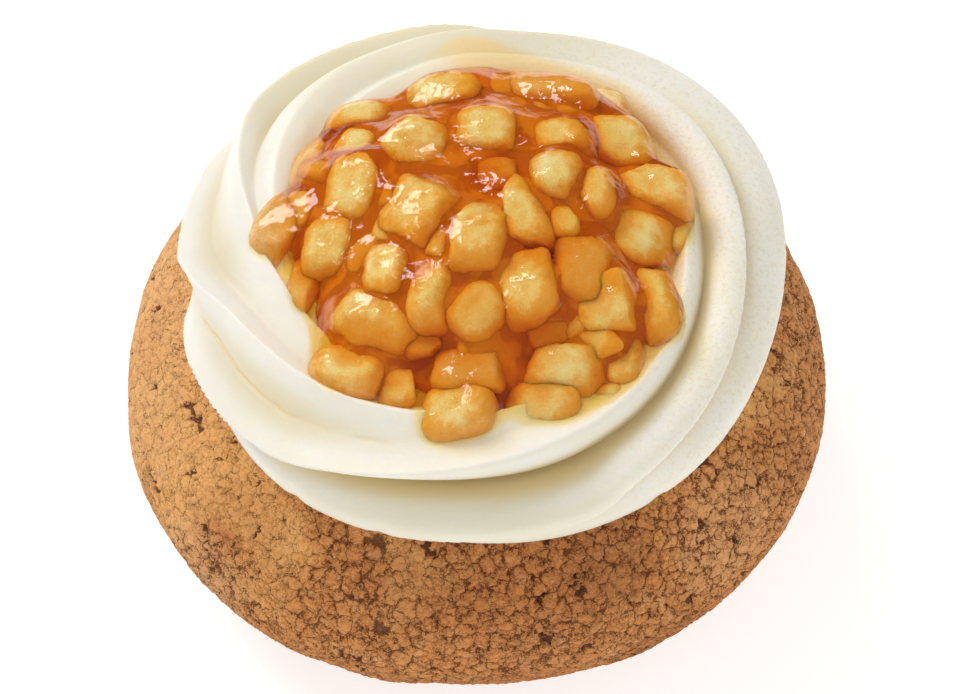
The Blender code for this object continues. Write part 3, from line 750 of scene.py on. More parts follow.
def cream_material():
    mat, n, shader = new_material("piped_cream")
    p = n.new("ShaderNodeAttribute", attribute_name="rest").outputs["Vector"]
    groove = n.new("ShaderNodeAttribute", attribute_name="groove").outputs["Fac"]
    stain = n.new("ShaderNodeAttribute", attribute_name="stain").outputs["Fac"]
    torn = n.new("ShaderNodeAttribute", attribute_name="torn").outputs["Fac"]
    tone = n.noise(p, 0.12, 3.0, 0.5)
    base = n.mix(n.ramp(tone, 0.3, 0.7), srgb(247, 245, 238), srgb(244, 241, 229))
    # painted shade: the grooves tinted darker and yellower, less so at the back where the key light falls
    behind = n.ramp(n.vec("DOT_PRODUCT", p, (0.0, 1.0, 0.0)), 13.0, 22.0, 0.90, 0.28)
    base = n.mix(n.math("MULTIPLY", n.ramp(groove, 0.42, 1.20), behind), base, srgb(228, 210, 164))
    # painted shade: darker and yellower towards the back
    base = n.mix(n.ramp(n.vec("DOT_PRODUCT", p, (-0.25, 1.0, 0.0)), 16.0, 28.0, 0.0, 0.62), base, srgb(220, 210, 174))
    # painted shade: greyer on the left, where the key light falls strongest
    base = n.mix(n.ramp(n.vec("DOT_PRODUCT", p, (-1.0, 0.0, 0.0)), 20.0, 33.0, 0.0, 0.50), base, srgb(224, 222, 214))
    # painted shade: darker towards the front and lower down
    base = n.mix(n.ramp(n.vec("DOT_PRODUCT", p, (0.0, -1.0, -0.8)), -5.0, 1.5, 0.0, 0.42), base, srgb(224, 218, 192))
    base = n.mix(n.math("MULTIPLY", torn, 0.45), base, srgb(244, 222, 158))
    base = n.mix(n.math("MULTIPLY", stain, 0.70), base, srgb(248, 218, 150))
    n.put(shader.inputs["Base Color"], base)
    n.put(shader.inputs["Roughness"], n.ramp(n.noise(p, 0.8, 3.0, 0.6), 0.3, 0.7, 0.36, 0.46))
    shader.inputs["Subsurface Weight"].default_value = 0.7
    shader.inputs["Subsurface Radius"].default_value = (1.0, 0.85, 0.55)
    shader.inputs["Subsurface Scale"].default_value = 1.3 * MM
    shader.inputs["Specular IOR Level"].default_value = 0.35
    # foamier on the right than on the left
    foam = n.ramp(n.vec("DOT_PRODUCT", p, (1.0, 0.25, 0.0)), 2.0, 22.0, 0.6, 3.6)
    fine = n.math("ADD", n.math("MULTIPLY", n.noise(p, 1.9, 3.0, 0.65), 0.07),
                  n.math("MULTIPLY", n.noise(p, 5.5, 2.0, 0.6), 0.02))
    fine = n.math("MULTIPLY", fine, foam)
    bump = n.new("ShaderNodeBump", {"Height": fine, "Distance": MM, "Strength": 0.6})
    n.put(shader.inputs["Normal"], bump.outputs[0])
    # painted shade in the foam's pores
    pores = n.math("MULTIPLY", n.ramp(n.noise(p, 2.3, 3.0, 0.6), 0.50, 0.34), n.math("MULTIPLY", foam, 0.11))
    base = n.mix(pores, base, srgb(228, 216, 178))
    n.put(shader.inputs["Base Color"], base)
    return mat


# ================================================================ fruit
# Pieces of fruit that show, read off the photograph: the middle of each in the
# 980 x 694 frame, its width and height there in pixels, its turn in degrees, how
# far it stands out of the heap's even surface in mm, how dark it is soaked, and
# how sharply it is cut (0 soft, 1 sharp).
DICE = (
    (437, 91, 58, 36, 8, 0.35, 0.25, 0.3), (362, 112, 50, 32, 14, 0.1, 0.45, 0.3), (544, 90, 80, 36, 13, 0.65, 0.95, 0.9),
    (606, 97, 38, 24, 30, -0.3, 0.55, 0.2), (484, 126, 56, 44, 8, 0.10, 0.10, 0.5), (412, 138, 64, 50, 14, 0.15, 0.15, 0.5),
    (558, 133, 44, 30, 8, -0.1, 0.60, 0.2), (617, 139, 60, 50, 12, 0.55, 0.45, 0.4), (551, 172, 44, 44, 10, 0.60, 0.0, 0.3),
    (352, 188, 52, 56, 8, 0.45, 0.05, 0.4), (419, 205, 58, 58, 28, 0.40, 0.15, 0.5), (357, 146, 36, 30, 30, 0.1, 0.30, 0.3),
    (273, 228, 44, 52, 30, 0.45, 0.90, 1.0), (326, 243, 46, 48, 20, 0.0, 0.30, 0.4), (386, 264, 42, 46, 12, 0.25, 0.15, 0.6),
    (431, 282, 46, 70, 4, 0.15, 0.40, 0.4), (476, 235, 50, 58, 6, 0.75, 0.0, 0.7), (521, 209, 36, 64, -16, 0.25, 0.30, 0.8),
    (592, 186, 30, 48, -10, 0.1, 0.80, 0.2), (563, 219, 30, 30, 0, -0.6, 0.80, 0.5), (652, 187, 66, 34, 10, 0.75, 0.15, 0.9),
    (636, 231, 54, 54, 12, 0.15, 0.20, 0.4), (674, 226, 26, 44, 5, -0.5, 0.75, 0.4), (580, 263, 60, 56, 8, 0.10, 0.95, 0.3),
    (521, 281, 48, 58, -10, 0.20, 0.50, 0.7), (476, 304, 46, 50, 40, -0.05, 0.85, 0.3), (374, 311, 80, 56, 14, 0.15, 0.40, 0.2),
    (647, 296, 40, 72, -14, 0.3, 0.05, 0.5), (603, 308, 52, 42, -12, 0.60, 0.05, 0.7), (344, 366, 62, 42, 20, 0.05, 0.15, 0.4),
    (395, 382, 40, 34, 0, -0.9, 0.80, 0.6), (466, 360, 68, 40, 5, -0.55, 0.95, 0.4), (564, 366, 68, 48, 10, 0.60, 0.0, 0.3),
    (596, 340, 34, 24, -20, -0.05, 0.20, 0.6), (617, 358, 38, 50, -14, -0.1, 0.25, 0.6), (456, 410, 56, 42, 6, 1.1, 0.10, 0.4),
    (537, 400, 68, 38, -8, -0.2, 0.75, 0.4), (441, 239, 24, 28, 30, -0.5, 0.85, 0.9),
    (306, 160, 40, 56, 30, -0.8, 0.85, 0.3), (303, 278, 30, 46, 20, -1.0, 0.90, 0.3), (592, 396, 60, 34, -20, 0.0, 0.30, 0.6),
    (300, 205, 26, 34, 0, -0.9, 0.90, 0.3), (500, 168, 40, 30, 0, -1.6, 1.0, 0.3), (386, 225, 30, 30, 20, -0.9, 0.8, 0.4),
    (548, 322, 36, 30, 0, -1.6, 1.0, 0.4), (418, 330, 32, 28, 0, -1.5, 1.0, 0.4),
)


def heap_dome(x, y):
    """Height of the heap's even surface, through the tops of the pieces."""
    angle = np.arctan2(y - HEAP_CY, x - HEAP_CX)
    share = np.hypot(x - HEAP_CX, y - HEAP_CY) / (HEAP_R + wave_sum(HEAP_R_WAVES, angle))
    return HEAP_BASE_Z + (HEAP_TOP_Z - HEAP_BASE_Z) * (1 - np.clip(share, 0, 1.3) ** 2.2), share


def dome_point(px, py):
    """Where the sight through a pixel meets the heap's even surface, and its normal."""
    d = sight(px, py)
    ts = np.linspace(380, 560, 1400)
    P = CAM_POS + ts[:, None] * d
    h, share = heap_dome(P[:, 0], P[:, 1])
    inside = np.where((P[:, 2] <= h))[0]
    k = inside.min() if len(inside) else np.argmin(np.abs(P[:, 2] - HEAP_BASE_Z))
    q = P[k]
    e = 0.5
    gx = (heap_dome(q[0] + e, q[1])[0] - heap_dome(q[0] - e, q[1])[0]) / (2 * e)
    gy = (heap_dome(q[0], q[1] + e)[0] - heap_dome(q[0], q[1] - e)[0]) / (2 * e)
    normal = np.array([-gx, -gy, 1.0])
    return q, normal / np.linalg.norm(normal)


def dice_list():
    """(centre, axes as columns, half sizes, sharpness, seed, tone) of every piece."""
    rng = np.random.default_rng(7)
    out = []
    for i, (px, py, w, h, turn, stand, tone, sharp) in enumerate(DICE):
        q, slope = dome_point(px, py)
        normal = slope * 0.38 + np.array([-0.10 - 0.07 * smoothstep(520, 640, px), 0.02, 0.62])
        normal /= np.linalg.norm(normal)
        # screen axes laid onto the heap
        right = CAM_RIGHT - normal * (CAM_RIGHT @ normal)
        right /= np.linalg.norm(right)
        up = np.cross(normal, right)
        a = math.radians(-turn)
        ax = right * math.cos(a) + up * math.sin(a)
        ay = -right * math.sin(a) + up * math.cos(a)
        lean = rng.normal(0, 0.12, 2)
        az = normal + ax * lean[0] + ay * lean[1]
        az /= np.linalg.norm(az)
        ax = ax - az * (ax @ az)
        ax /= np.linalg.norm(ax)
        ay = np.cross(az, ax)
        half = np.array([w / CAM_PIXELS / 2 * 1.12, h / CAM_PIXELS / 2 * 1.24, 0.0])
        half[2] = np.clip(np.sqrt(half[0] * half[1]) * rng.uniform(0.8, 1.05), 1.6, 3.6)
        centre = q + normal * (stand - half[2])
        out.append((centre, np.stack([ax, ay, az], 1), half, sharp, i, tone))
    return out


def filler_list(front):
    """Pieces lower in the heap, that show between the front ones and at the sides."""
    rng = np.random.default_rng(3)
    out = []
    tries = 0
    # clear syrup stands over these places
    clear_spots = [dome_point(px, py)[0] for px, py, _, _ in POOLS]
    while len(out) < 34 and tries < 4000:
        tries += 1
        a = rng.uniform(0, 2 * math.pi)
        s = math.sqrt(rng.uniform(0, 1)) * 0.76
        edge = HEAP_R + float(wave_sum(HEAP_R_WAVES, a))
        x, y = HEAP_CX + s * edge * math.cos(a), HEAP_CY + s * edge * math.sin(a)
        h, share = heap_dome(x, y)
        half = rng.uniform(1.9, 2.9, 3)
        z = float(h) - rng.uniform(3.6, 4.8)
        z = max(z, 45.5)
        c = np.array([x, y, z])
        if any(np.linalg.norm(c[:2] - o[:2]) < 3.4 for o in clear_spots):
            continue
        if any(np.linalg.norm(c - o[0]) < 3.6 for o in out):
            continue
        m = rng.normal(size=(3, 3))
        axes, _ = np.linalg.qr(m)
        out.append((c, axes, half, 0.4, 100 + len(out), rng.uniform(0.4, 0.9)))
    return out


def cube_sphere(n):
    """Unit cube surface grid, welded, as directions: (verts, quads)."""
    line = np.linspace(-1, 1, n + 1)
    verts, index, faces = [], {}, []

    def add(v):
        key = tuple(np.round(v, 6))
        if key not in index:
            index[key] = len(verts)
            verts.append(v)
        return index[key]

    for axis in range(3):
        for sign in (-1, 1):
            u_ax, v_ax = (axis + 1) % 3, (axis + 2) % 3
            for i in range(n):
                for j in range(n):
                    ids = []
                    for a, b in ((i, j), (i + 1, j), (i + 1, j + 1), (i, j + 1)):
                        v = [0, 0, 0]
                        v[axis], v[u_ax], v[v_ax] = sign, line[a], line[b]
                        ids.append(add(tuple(v)))
                    faces.append(ids if sign > 0 else ids[::-1])
    return np.array(verts, float), np.array(faces)


def knife_cuts(sharp, seed):
    """How unevenly a dice is cut: (skew matrix, taper, planes off its corners as (direction, place))."""
    rng = np.random.default_rng(1000 + seed)
    skew = rng.normal(0, 0.12, (3, 3))
    np.fill_diagonal(skew, 0)
    taper = 0.12 * rng.normal()
    planes = []
    for _ in range(4):
        cut = rng.normal(size=3) * np.array([1, 1, 0.45])
        cut /= np.linalg.norm(cut)
        reach = (np.abs(cut) ** 1.3).sum() ** (1 / 1.3)
        planes.append((cut, rng.uniform(0.74, 0.96) * reach))
    return skew, taper, planes


def box_shape(direction_cube, half, sharp, seed):
    """Points of an unevenly cut dice from the cube grid, in its own axes."""
    # superellipsoid: p-norm sphere between a ball and a cube
    power = 2.4 + 3.4 * sharp
    # spread the grid so that corners get an even share
    w = np.tan(direction_cube * 0.72) / np.tan(0.72)
    norm = (np.abs(w) ** power).sum(1) ** (1 / power)
    s = w / norm[:, None]
    skew, taper, planes = knife_cuts(sharp, seed)
    s = s + s @ skew.T
    s = s * (1 + taper * s[:, [2]] * np.array([1, 1, 0]))
    for cut, place in planes:
        over = s @ cut - place
        s = s - cut * (0.5 * (over + np.sqrt(over**2 + (0.16 - 0.12 * sharp) ** 2)))[:, None]
    p = s * half
    p = p * (0.96 + 0.05 * fbm(p / 2.6 + seed * 3.1, 40 + seed, 2)[:, None])
    p = p * (1 + 0.03 * fbm(p / 0.9 + seed * 3.1, 60 + seed, 2)[:, None])
    return p


def make_dice(name, items, n, cube=None):
    cube, quads = cube_sphere(n)
    verts, faces, ids, rims = [], [], [], []
    for centre, axes, half, sharp, seed, tone in items:
        local = box_shape(cube, half, sharp, seed)
        unit = local / half
        rims.append(np.maximum(np.hypot(unit[:, 0], unit[:, 1]), 1 - unit[:, 2]))
        world = centre + local @ axes.T
        faces.append(quads + len(cube) * len(verts))
        verts.append(world)
        ids.append(np.full(len(cube), tone, float))
    V = np.concatenate(verts)
    F = np.concatenate(faces)
    obj = make_object(name, to_frame(V), F)
    set_attribute(obj, "rest", V, "FLOAT_VECTOR")
    set_attribute(obj, "tone", np.concatenate(ids))
    set_attribute(obj, "rim", np.concatenate(rims))
    outward(obj)
    return obj


# syrup alone: pixel, radius in mm, and how far its top stands above the dome, in mm
POOLS = (
    (302, 152, 2.4, -0.9), (299, 200, 2.2, -0.6), (303, 245, 2.3, -0.6), (312, 285, 2.3, -0.7), (318, 322, 2.2, -0.7),
    (322, 345, 2.0, -0.8), (494, 168, 3.0, -0.6), (530, 335, 3.2, -0.7), (430, 348, 3.2, -0.7), (416, 385, 2.6, -0.8),
    (334, 134, 1.9, -1.0), (505, 385, 3.0, -0.6), (590, 398, 2.6, -0.5), (470, 70, 2.0, -0.9), (600, 150, 2.4, -0.6),
    (662, 262, 2.4, -0.8), (545, 240, 2.4, -0.8), (640, 120, 2.0, -0.8), (480, 420, 2.0, -0.7), (560, 424, 1.8, -0.6),
)

# ---- the glaze: one film over all the pieces, drawn as a level surface
FILM_STEP = 0.30
LEVEL = 0.16                  # how far the syrup's own level lies under the heap's even surface, in mm


def film_grid(items):
    """Distance to the nearest piece of fruit on a grid, in mm, cut off at 3 mm."""
    lo = np.array([HEAP_CX - 29.0, HEAP_CY - 29.0, 41.0])
    hi = np.array([HEAP_CX + 29.0, HEAP_CY + 29.0, 60.5])
    shape = np.ceil((hi - lo) / FILM_STEP).astype(int) + 1
    field = np.full(shape, 3.0, np.float32)
    axes_lin = [lo[k] + FILM_STEP * np.arange(shape[k]) for k in range(3)]
    for centre, axes, half, sharp, seed, tone in items:
        reach = np.abs(axes) @ half + 3.0
        i0 = np.maximum(((centre - reach - lo) / FILM_STEP).astype(int), 0)
        i1 = np.minimum(((centre + reach - lo) / FILM_STEP).astype(int) + 2, shape)
        X, Y, Z = np.meshgrid(*[axes_lin[k][i0[k]:i1[k]] for k in range(3)], indexing="ij")
        q = np.stack([X, Y, Z], -1) - centre
        cube = q @ axes / half
        skew, taper, planes = knife_cuts(sharp, seed)
        plain = cube / np.clip(1 + taper * cube[..., [2]] * np.array([1, 1, 0]), 0.6, 1.6)
        unit = np.abs(plain @ np.linalg.inv(np.eye(3) + skew.T))
        power = 2.4 + 3.4 * sharp
        norm = np.maximum((unit**power).sum(-1) ** (1 / power), 1e-3)
        steep = np.linalg.norm((unit / norm[..., None]) ** (power - 1) / half, axis=-1)
        dist = (norm - 0.98) / np.maximum(steep, 1e-3)
        for cut, place in planes:
            flat = (cube @ cut - place) / np.linalg.norm(cut / half)
            dist = -smooth_union(-dist, -flat, 0.35)
        part = field[i0[0]:i1[0], i0[1]:i1[1], i0[2]:i1[2]]
        np.minimum(part, dist, out=part)
    return field, lo, shape


def add_pools(field, lo, shape):
    """The same grid with the places of clear syrup."""
    field = field.copy()
    axes_lin = [lo[k] + FILM_STEP * np.arange(shape[k]) for k in range(3)]
    for px, py, r, stand in POOLS:
        q, normal = dome_point(px, py)
        c = q + normal * (stand - r)
        i0 = np.maximum(((c - r - 3 - lo) / FILM_STEP).astype(int), 0)
        i1 = np.minimum(((c + r + 3 - lo) / FILM_STEP).astype(int) + 2, shape)
        X, Y, Z = np.meshgrid(*[axes_lin[k][i0[k]:i1[k]] - c[k] for k in range(3)], indexing="ij")
        part = field[i0[0]:i1[0], i0[1]:i1[1], i0[2]:i1[2]]
        np.minimum(part, np.sqrt(X * X + Y * Y + Z * Z) - r, out=part)
    return field


def grid_value(field, lo, points):
    """The grid's value at points, between its corners."""
    g = np.clip((points - lo) / FILM_STEP, 0, np.array(field.shape) - 1.001)
    i = g.astype(int)
    f = g - i
    out = 0.0
    for dx in (0, 1):
        for dy in (0, 1):
            for dz in (0, 1):
                w = (f[:, 0] if dx else 1 - f[:, 0]) * (f[:, 1] if dy else 1 - f[:, 1]) * (f[:, 2] if dz else 1 - f[:, 2])
                out = out + w * field[i[:, 0] + dx, i[:, 1] + dy, i[:, 2] + dz]
    return out


def blur(field, sigma):
    n = int(math.ceil(sigma * 2.6))
    k = np.exp(-0.5 * (np.arange(-n, n + 1) / sigma) ** 2)
    k = (k / k.sum()).astype(np.float32)
    for axis in range(3):
        f = np.moveaxis(field, axis, 0)
        pad = np.concatenate([np.repeat(f[:1], n, 0), f, np.repeat(f[-1:], n, 0)])
        out = np.zeros_like(f)
        for i, w in enumerate(k):
            out += w * pad[i:i + f.shape[0]]
        field = np.moveaxis(out, 0, axis)
    return field


def smooth_union(a, b, k):
    h = np.clip(0.5 + 0.5 * (a - b) / k, 0, 1)
    return a * (1 - h) + b * h - k * h * (1 - h)


def surface_net(field, lo, step):
    """Level surface of field at 0 by surface nets: (verts, quads), normals to the high side."""
    inside = field < 0
    nx, ny, nz = field.shape
    c = [inside[i:nx - 1 + i, j:ny - 1 + j, k:nz - 1 + k] for i in (0, 1) for j in (0, 1) for k in (0, 1)]
    total = sum(a.astype(np.int8) for a in c)
    cells = (total > 0) & (total < 8)
    ids = np.full(cells.shape, -1, np.int64)
    ids[cells] = np.arange(cells.sum())
    cx, cy, cz = np.where(cells)
    acc = np.zeros((len(cx), 3))
    cnt = np.zeros(len(cx))
    for axis in range(3):
        others = [k for k in range(3) if k != axis]
        for a in (0, 1):
            for b in (0, 1):
                o = [0, 0, 0]
                o[others[0]], o[others[1]] = a, b
                e = list(o)
                e[axis] = 1
                v0 = field[cx + o[0], cy + o[1], cz + o[2]]
                v1 = field[cx + e[0], cy + e[1], cz + e[2]]
                hit = (v0 < 0) != (v1 < 0)
                t = np.where(hit, v0 / np.where(hit, v0 - v1, 1), 0)
                p = np.array(o, float)[None] + 0
                p = np.repeat(p, len(cx), 0)
                p[:, axis] = t
                acc[hit] += p[hit]
                cnt[hit] += 1
    local = acc / cnt[:, None]
    verts = lo + step * (np.stack([cx, cy, cz], -1) + local)
    quads = []
    for axis in range(3):
        u, v = (axis + 1) % 3, (axis + 2) % 3
        sl0 = [slice(1, -1)] * 3
        sl0[axis] = slice(0, -1)
        sl1 = list(sl0)
        sl1[axis] = slice(1, None)
        a, b = inside[tuple(sl0)], inside[tuple(sl1)]
        ex, ey, ez = np.where(a != b)
        base = np.stack([ex, ey, ez], -1)
        off = np.ones(3, int)
        off[axis] = 0
        base = base + off
        down = a[ex, ey, ez]
        du, dv = np.zeros(3, int), np.zeros(3, int)
        du[u], dv[v] = 1, 1

        def at(q):
            return ids[q[:, 0], q[:, 1], q[:, 2]]
        q = np.stack([at(base - du - dv), at(base - dv), at(base), at(base - du)], -1)
        q[~down] = q[~down][:, ::-1]
        quads.append(q)
    return verts, np.concatenate(quads)


def relax(verts, quads, times, amount=0.5):
    n = len(verts)
    pairs = np.concatenate([quads[:, [0, 1]], quads[:, [1, 2]], quads[:, [2, 3]], quads[:, [3, 0]]])
    for _ in range(times):
        acc = np.zeros_like(verts)
        cnt = np.zeros(n)
        for k in range(3):
            acc[:, k] = np.bincount(pairs[:, 0], verts[pairs[:, 1], k], n)
        cnt = np.bincount(pairs[:, 0], minlength=n)
        cnt = np.maximum(cnt, 1)
        verts = verts * (1 - amount) + amount * acc / cnt[:, None]
    return verts


def main_shell(obj):
    """Keeps the one big shell of a mesh and drops its crumbs."""
    bm = bmesh.new()
    bm.from_mesh(obj.data)
    bm.verts.ensure_lookup_table()
    seen, best = set(), []
    for v in bm.verts:
        if v.index in seen:
            continue
        stack, part = [v], []
        seen.add(v.index)
        while stack:
            w = stack.pop()
            part.append(w)
            for e in w.link_edges:
                o = e.other_vert(w)
                if o.index not in seen:
                    seen.add(o.index)
                    stack.append(o)
        if len(part) > len(best):
            best = part
    keep = {v.index for v in best}
    bmesh.ops.delete(bm, geom=[v for v in bm.verts if v.index not in keep], context="VERTS")
    bm.to_mesh(obj.data)
    bm.free()
    obj.data.shade_smooth()
    outward(obj)


def close_box(field):
    field[0], field[-1] = 3, 3
    field[:, 0], field[:, -1] = 3, 3
    field[:, :, 0], field[:, :, -1] = 3, 3


def make_core(field, lo, shape):
    """The heap's body: pulp that fills the creases between the pieces and lies low under clear syrup."""
    body = blur(np.maximum(field, -1.2), 0.95 / FILM_STEP) + 0.18
    xs, ys, zs = [lo[k] + FILM_STEP * np.arange(shape[k]) for k in range(3)]
    X, Y = np.meshgrid(xs, ys, indexing="ij")
    dome, share = heap_dome(X, Y)
    top = dome - 1.9 - 6.0 * smoothstep(0.84, 0.98, share)
    body = smooth_union(body, 0.85 * (zs[None, None, :] - top[:, :, None]), 0.8)
    sink = np.zeros_like(X)
    for px, py, r, _ in POOLS:
        spot = dome_point(px, py)[0]
        sink = np.maximum(sink, 1.5 * np.exp(-((X - spot[0]) ** 2 + (Y - spot[1]) ** 2) / (0.8 * r) ** 2))
    body = (body + sink[:, :, None]).astype(np.float32)
    body = np.maximum(body, (44.4 - zs)[None, None, :].astype(np.float32))
    close_box(body)
    verts, quads = surface_net(body, lo, FILM_STEP)
    verts = relax(verts, quads, 2, 0.5)
    obj = make_object("fruit_core", to_frame(verts), quads)
    main_shell(obj)
    co = np.array([v.co[:] for v in obj.data.vertices]) / MM - SHIFT
    set_attribute(obj, "rest", co, "FLOAT_VECTOR")
    set_attribute(obj, "tone", np.full(len(co), 1.2))
    set_attribute(obj, "rim", np.full(len(co), 1.0))
    return obj


def make_film(field, lo, shape, soaked):
    """The syrup's outer surface; also notes on each piece of fruit how deep in syrup and how
    close among the other pieces it lies."""
    around = blur(np.maximum(field, -1.2), 0.8 / FILM_STEP)
    field = add_pools(field, lo, shape)
    xs, ys, zs = [lo[k] + FILM_STEP * np.arange(shape[k]) for k in range(3)]
    X, Y = np.meshgrid(xs, ys, indexing="ij")
    flat = np.stack([X, Y, 0 * X], -1).reshape(-1, 3)
    sway = (0.28 * fbm(flat / 3.2, 81, 2) + 0.07 * fbm(flat / 1.1, 83, 2)).reshape(X.shape)
    # the syrup fills the gaps between pieces
    dome, share = heap_dome(X, Y)
    behind = smoothstep(-6.0, 8.0, Y)
    spare = 1.20 + sway - (0.15 + 0.60 * behind) * smoothstep(0.80, 0.98, share)
    pooled = blur(np.maximum(field, -1.0), 1.5 / FILM_STEP) - spare[:, :, None].astype(np.float32)
    # stands nearly level among them
    level = dome - LEVEL + sway - 9.0 * smoothstep(0.80, 0.96, share)
    flat_top = 0.85 * (zs[None, None, :] - level[:, :, None])
    pooled = smooth_union(pooled, flat_top, 0.9)
    # and runs thin over their tops
    thin = blur(np.maximum(field, -1.2), 0.60 / FILM_STEP) - 0.26
    film = smooth_union(thin, pooled, 1.15).astype(np.float32)
    # nothing below the well's floor
    film = np.maximum(film, (44.0 - zs)[None, None, :].astype(np.float32))
    for piece in soaked:
        at = np.array([d.vector[:] for d in piece.data.attributes["rest"].data])
        set_attribute(piece, "deep", -grid_value(film, lo, at))
        set_attribute(piece, "crease", -grid_value(around, lo, at))
    close_box(film)
    verts, quads = surface_net(film, lo, FILM_STEP)
    verts = relax(verts, quads, 2, 0.5)
    obj = make_object("syrup_glaze", to_frame(verts), quads)
    main_shell(obj)
    co = np.array([v.co[:] for v in obj.data.vertices]) / MM - SHIFT
    set_attribute(obj, "over", grid_value(field, lo, co))
    return obj


def fruit_material():
    mat, n, shader = new_material("fruit_flesh")
    p = n.new("ShaderNodeAttribute", attribute_name="rest").outputs["Vector"]
    tone = n.new("ShaderNodeAttribute", attribute_name="tone").outputs["Fac"]
    deep = n.new("ShaderNodeAttribute", attribute_name="deep").outputs["Fac"]
    rim = n.new("ShaderNodeAttribute", attribute_name="rim").outputs["Fac"]
    crease = n.new("ShaderNodeAttribute", attribute_name="crease").outputs["Fac"]
    pulp = n.noise(p, 1.5, 5.0, 0.75)
    vein = n.noise(p, 0.35, 3.0, 0.6, 0.6)
    grain = n.noise(n.vec("MULTIPLY", p, (1.0, 1.0, 0.6)), 4.6, 2.0, 0.7)
    # the flesh is soaked with syrup the deeper it lies
    soak_and_painted_light = n.ramp(n.math("ADD", deep, n.math("MULTIPLY", n.math("SUBTRACT", vein, 0.5), 1.2)), 0.25, 1.9)
    soak_and_painted_light = n.math("MAXIMUM", n.math("MULTIPLY", tone, 0.75), soak_and_painted_light)
    # and towards its edges, partly soak and partly painted light that keeps the tops pale
    uneven = n.math("MULTIPLY", n.math("SUBTRACT", n.noise(p, 0.8, 3.0, 0.6), 0.5), 0.9)
    soak_and_painted_light = n.math("MAXIMUM", soak_and_painted_light, n.ramp(n.math("ADD", rim, uneven), 0.10, 1.00, 0.0, 1.0))
    base = n.mix(soak_and_painted_light, srgb(255, 252, 246), srgb(244, 198, 116))
    pale = n.mixf(soak_and_painted_light, 1.0, 0.18)
    base = n.mix(n.math("MULTIPLY", n.ramp(vein, 0.42, 0.62), 0.16), base, srgb(246, 212, 140))
    base = n.mix(n.math("MULTIPLY", n.ramp(pulp, 0.48, 0.32), 0.20), base, srgb(238, 188, 104))
    base = n.mix(n.math("MULTIPLY", n.ramp(pulp, 0.53, 0.68), n.math("MULTIPLY", pale, 0.75)), base, srgb(255, 251, 240))
    base = n.mix(n.math("MULTIPLY", n.ramp(grain, 0.46, 0.34), 0.16), base, srgb(226, 170, 86))
    # painted glints: tiny bright specks on the flesh, fewer where it is soaked
    light = n.math("MULTIPLY", n.ramp(grain, 0.53, 0.63), n.mixf(soak_and_painted_light, 0.90, 0.14))
    base = n.mix(light, base, srgb(255, 251, 240))
    # deeper amber towards the edges, partly soak and partly painted light that leaves the tops pale; browner in the
    # creases where the pieces crowd each other, partly syrup and partly painted shade; and browner under much syrup
    base = n.mix(n.ramp(tone, 0.78, 0.98, 0.0, 0.50), base, srgb(218, 146, 66))
    base = n.mix(n.ramp(n.math("ADD", rim, uneven), 0.50, 1.20, 0.0, 0.75), base, srgb(236, 168, 72))
    base = n.mix(n.ramp(crease, -0.10, 0.36, 0.0, 0.90), base, srgb(240, 166, 66))
    base = n.mix(n.ramp(deep, 0.70, 2.1, 0.0, 0.55), base, srgb(222, 134, 40))
    sunk = n.mix(n.ramp(n.noise(p, 0.30, 2.0, 0.55, 0.8), 0.44, 0.60), srgb(194, 106, 10), srgb(228, 154, 56))
    base = n.mix(n.ramp(tone, 1.0, 1.2, 0.0, 0.72), base, sunk)
    n.put(shader.inputs["Base Color"], base)
    shader.inputs["Subsurface Weight"].default_value = 0.8
    shader.inputs["Subsurface Radius"].default_value = (1.0, 1.0, 1.0)
    shader.inputs["Subsurface Scale"].default_value = 0.7 * MM
    shader.inputs["Roughness"].default_value = 0.5
    shader.inputs["Specular IOR Level"].default_value = 0.1
    relief = n.math("ADD", n.math("MULTIPLY", pulp, 0.45), n.math("MULTIPLY", grain, 0.12))
    bump = n.new("ShaderNodeBump", {"Height": relief, "Distance": MM, "Strength": 0.6})
    n.put(shader.inputs["Normal"], bump.outputs[0])
    return mat


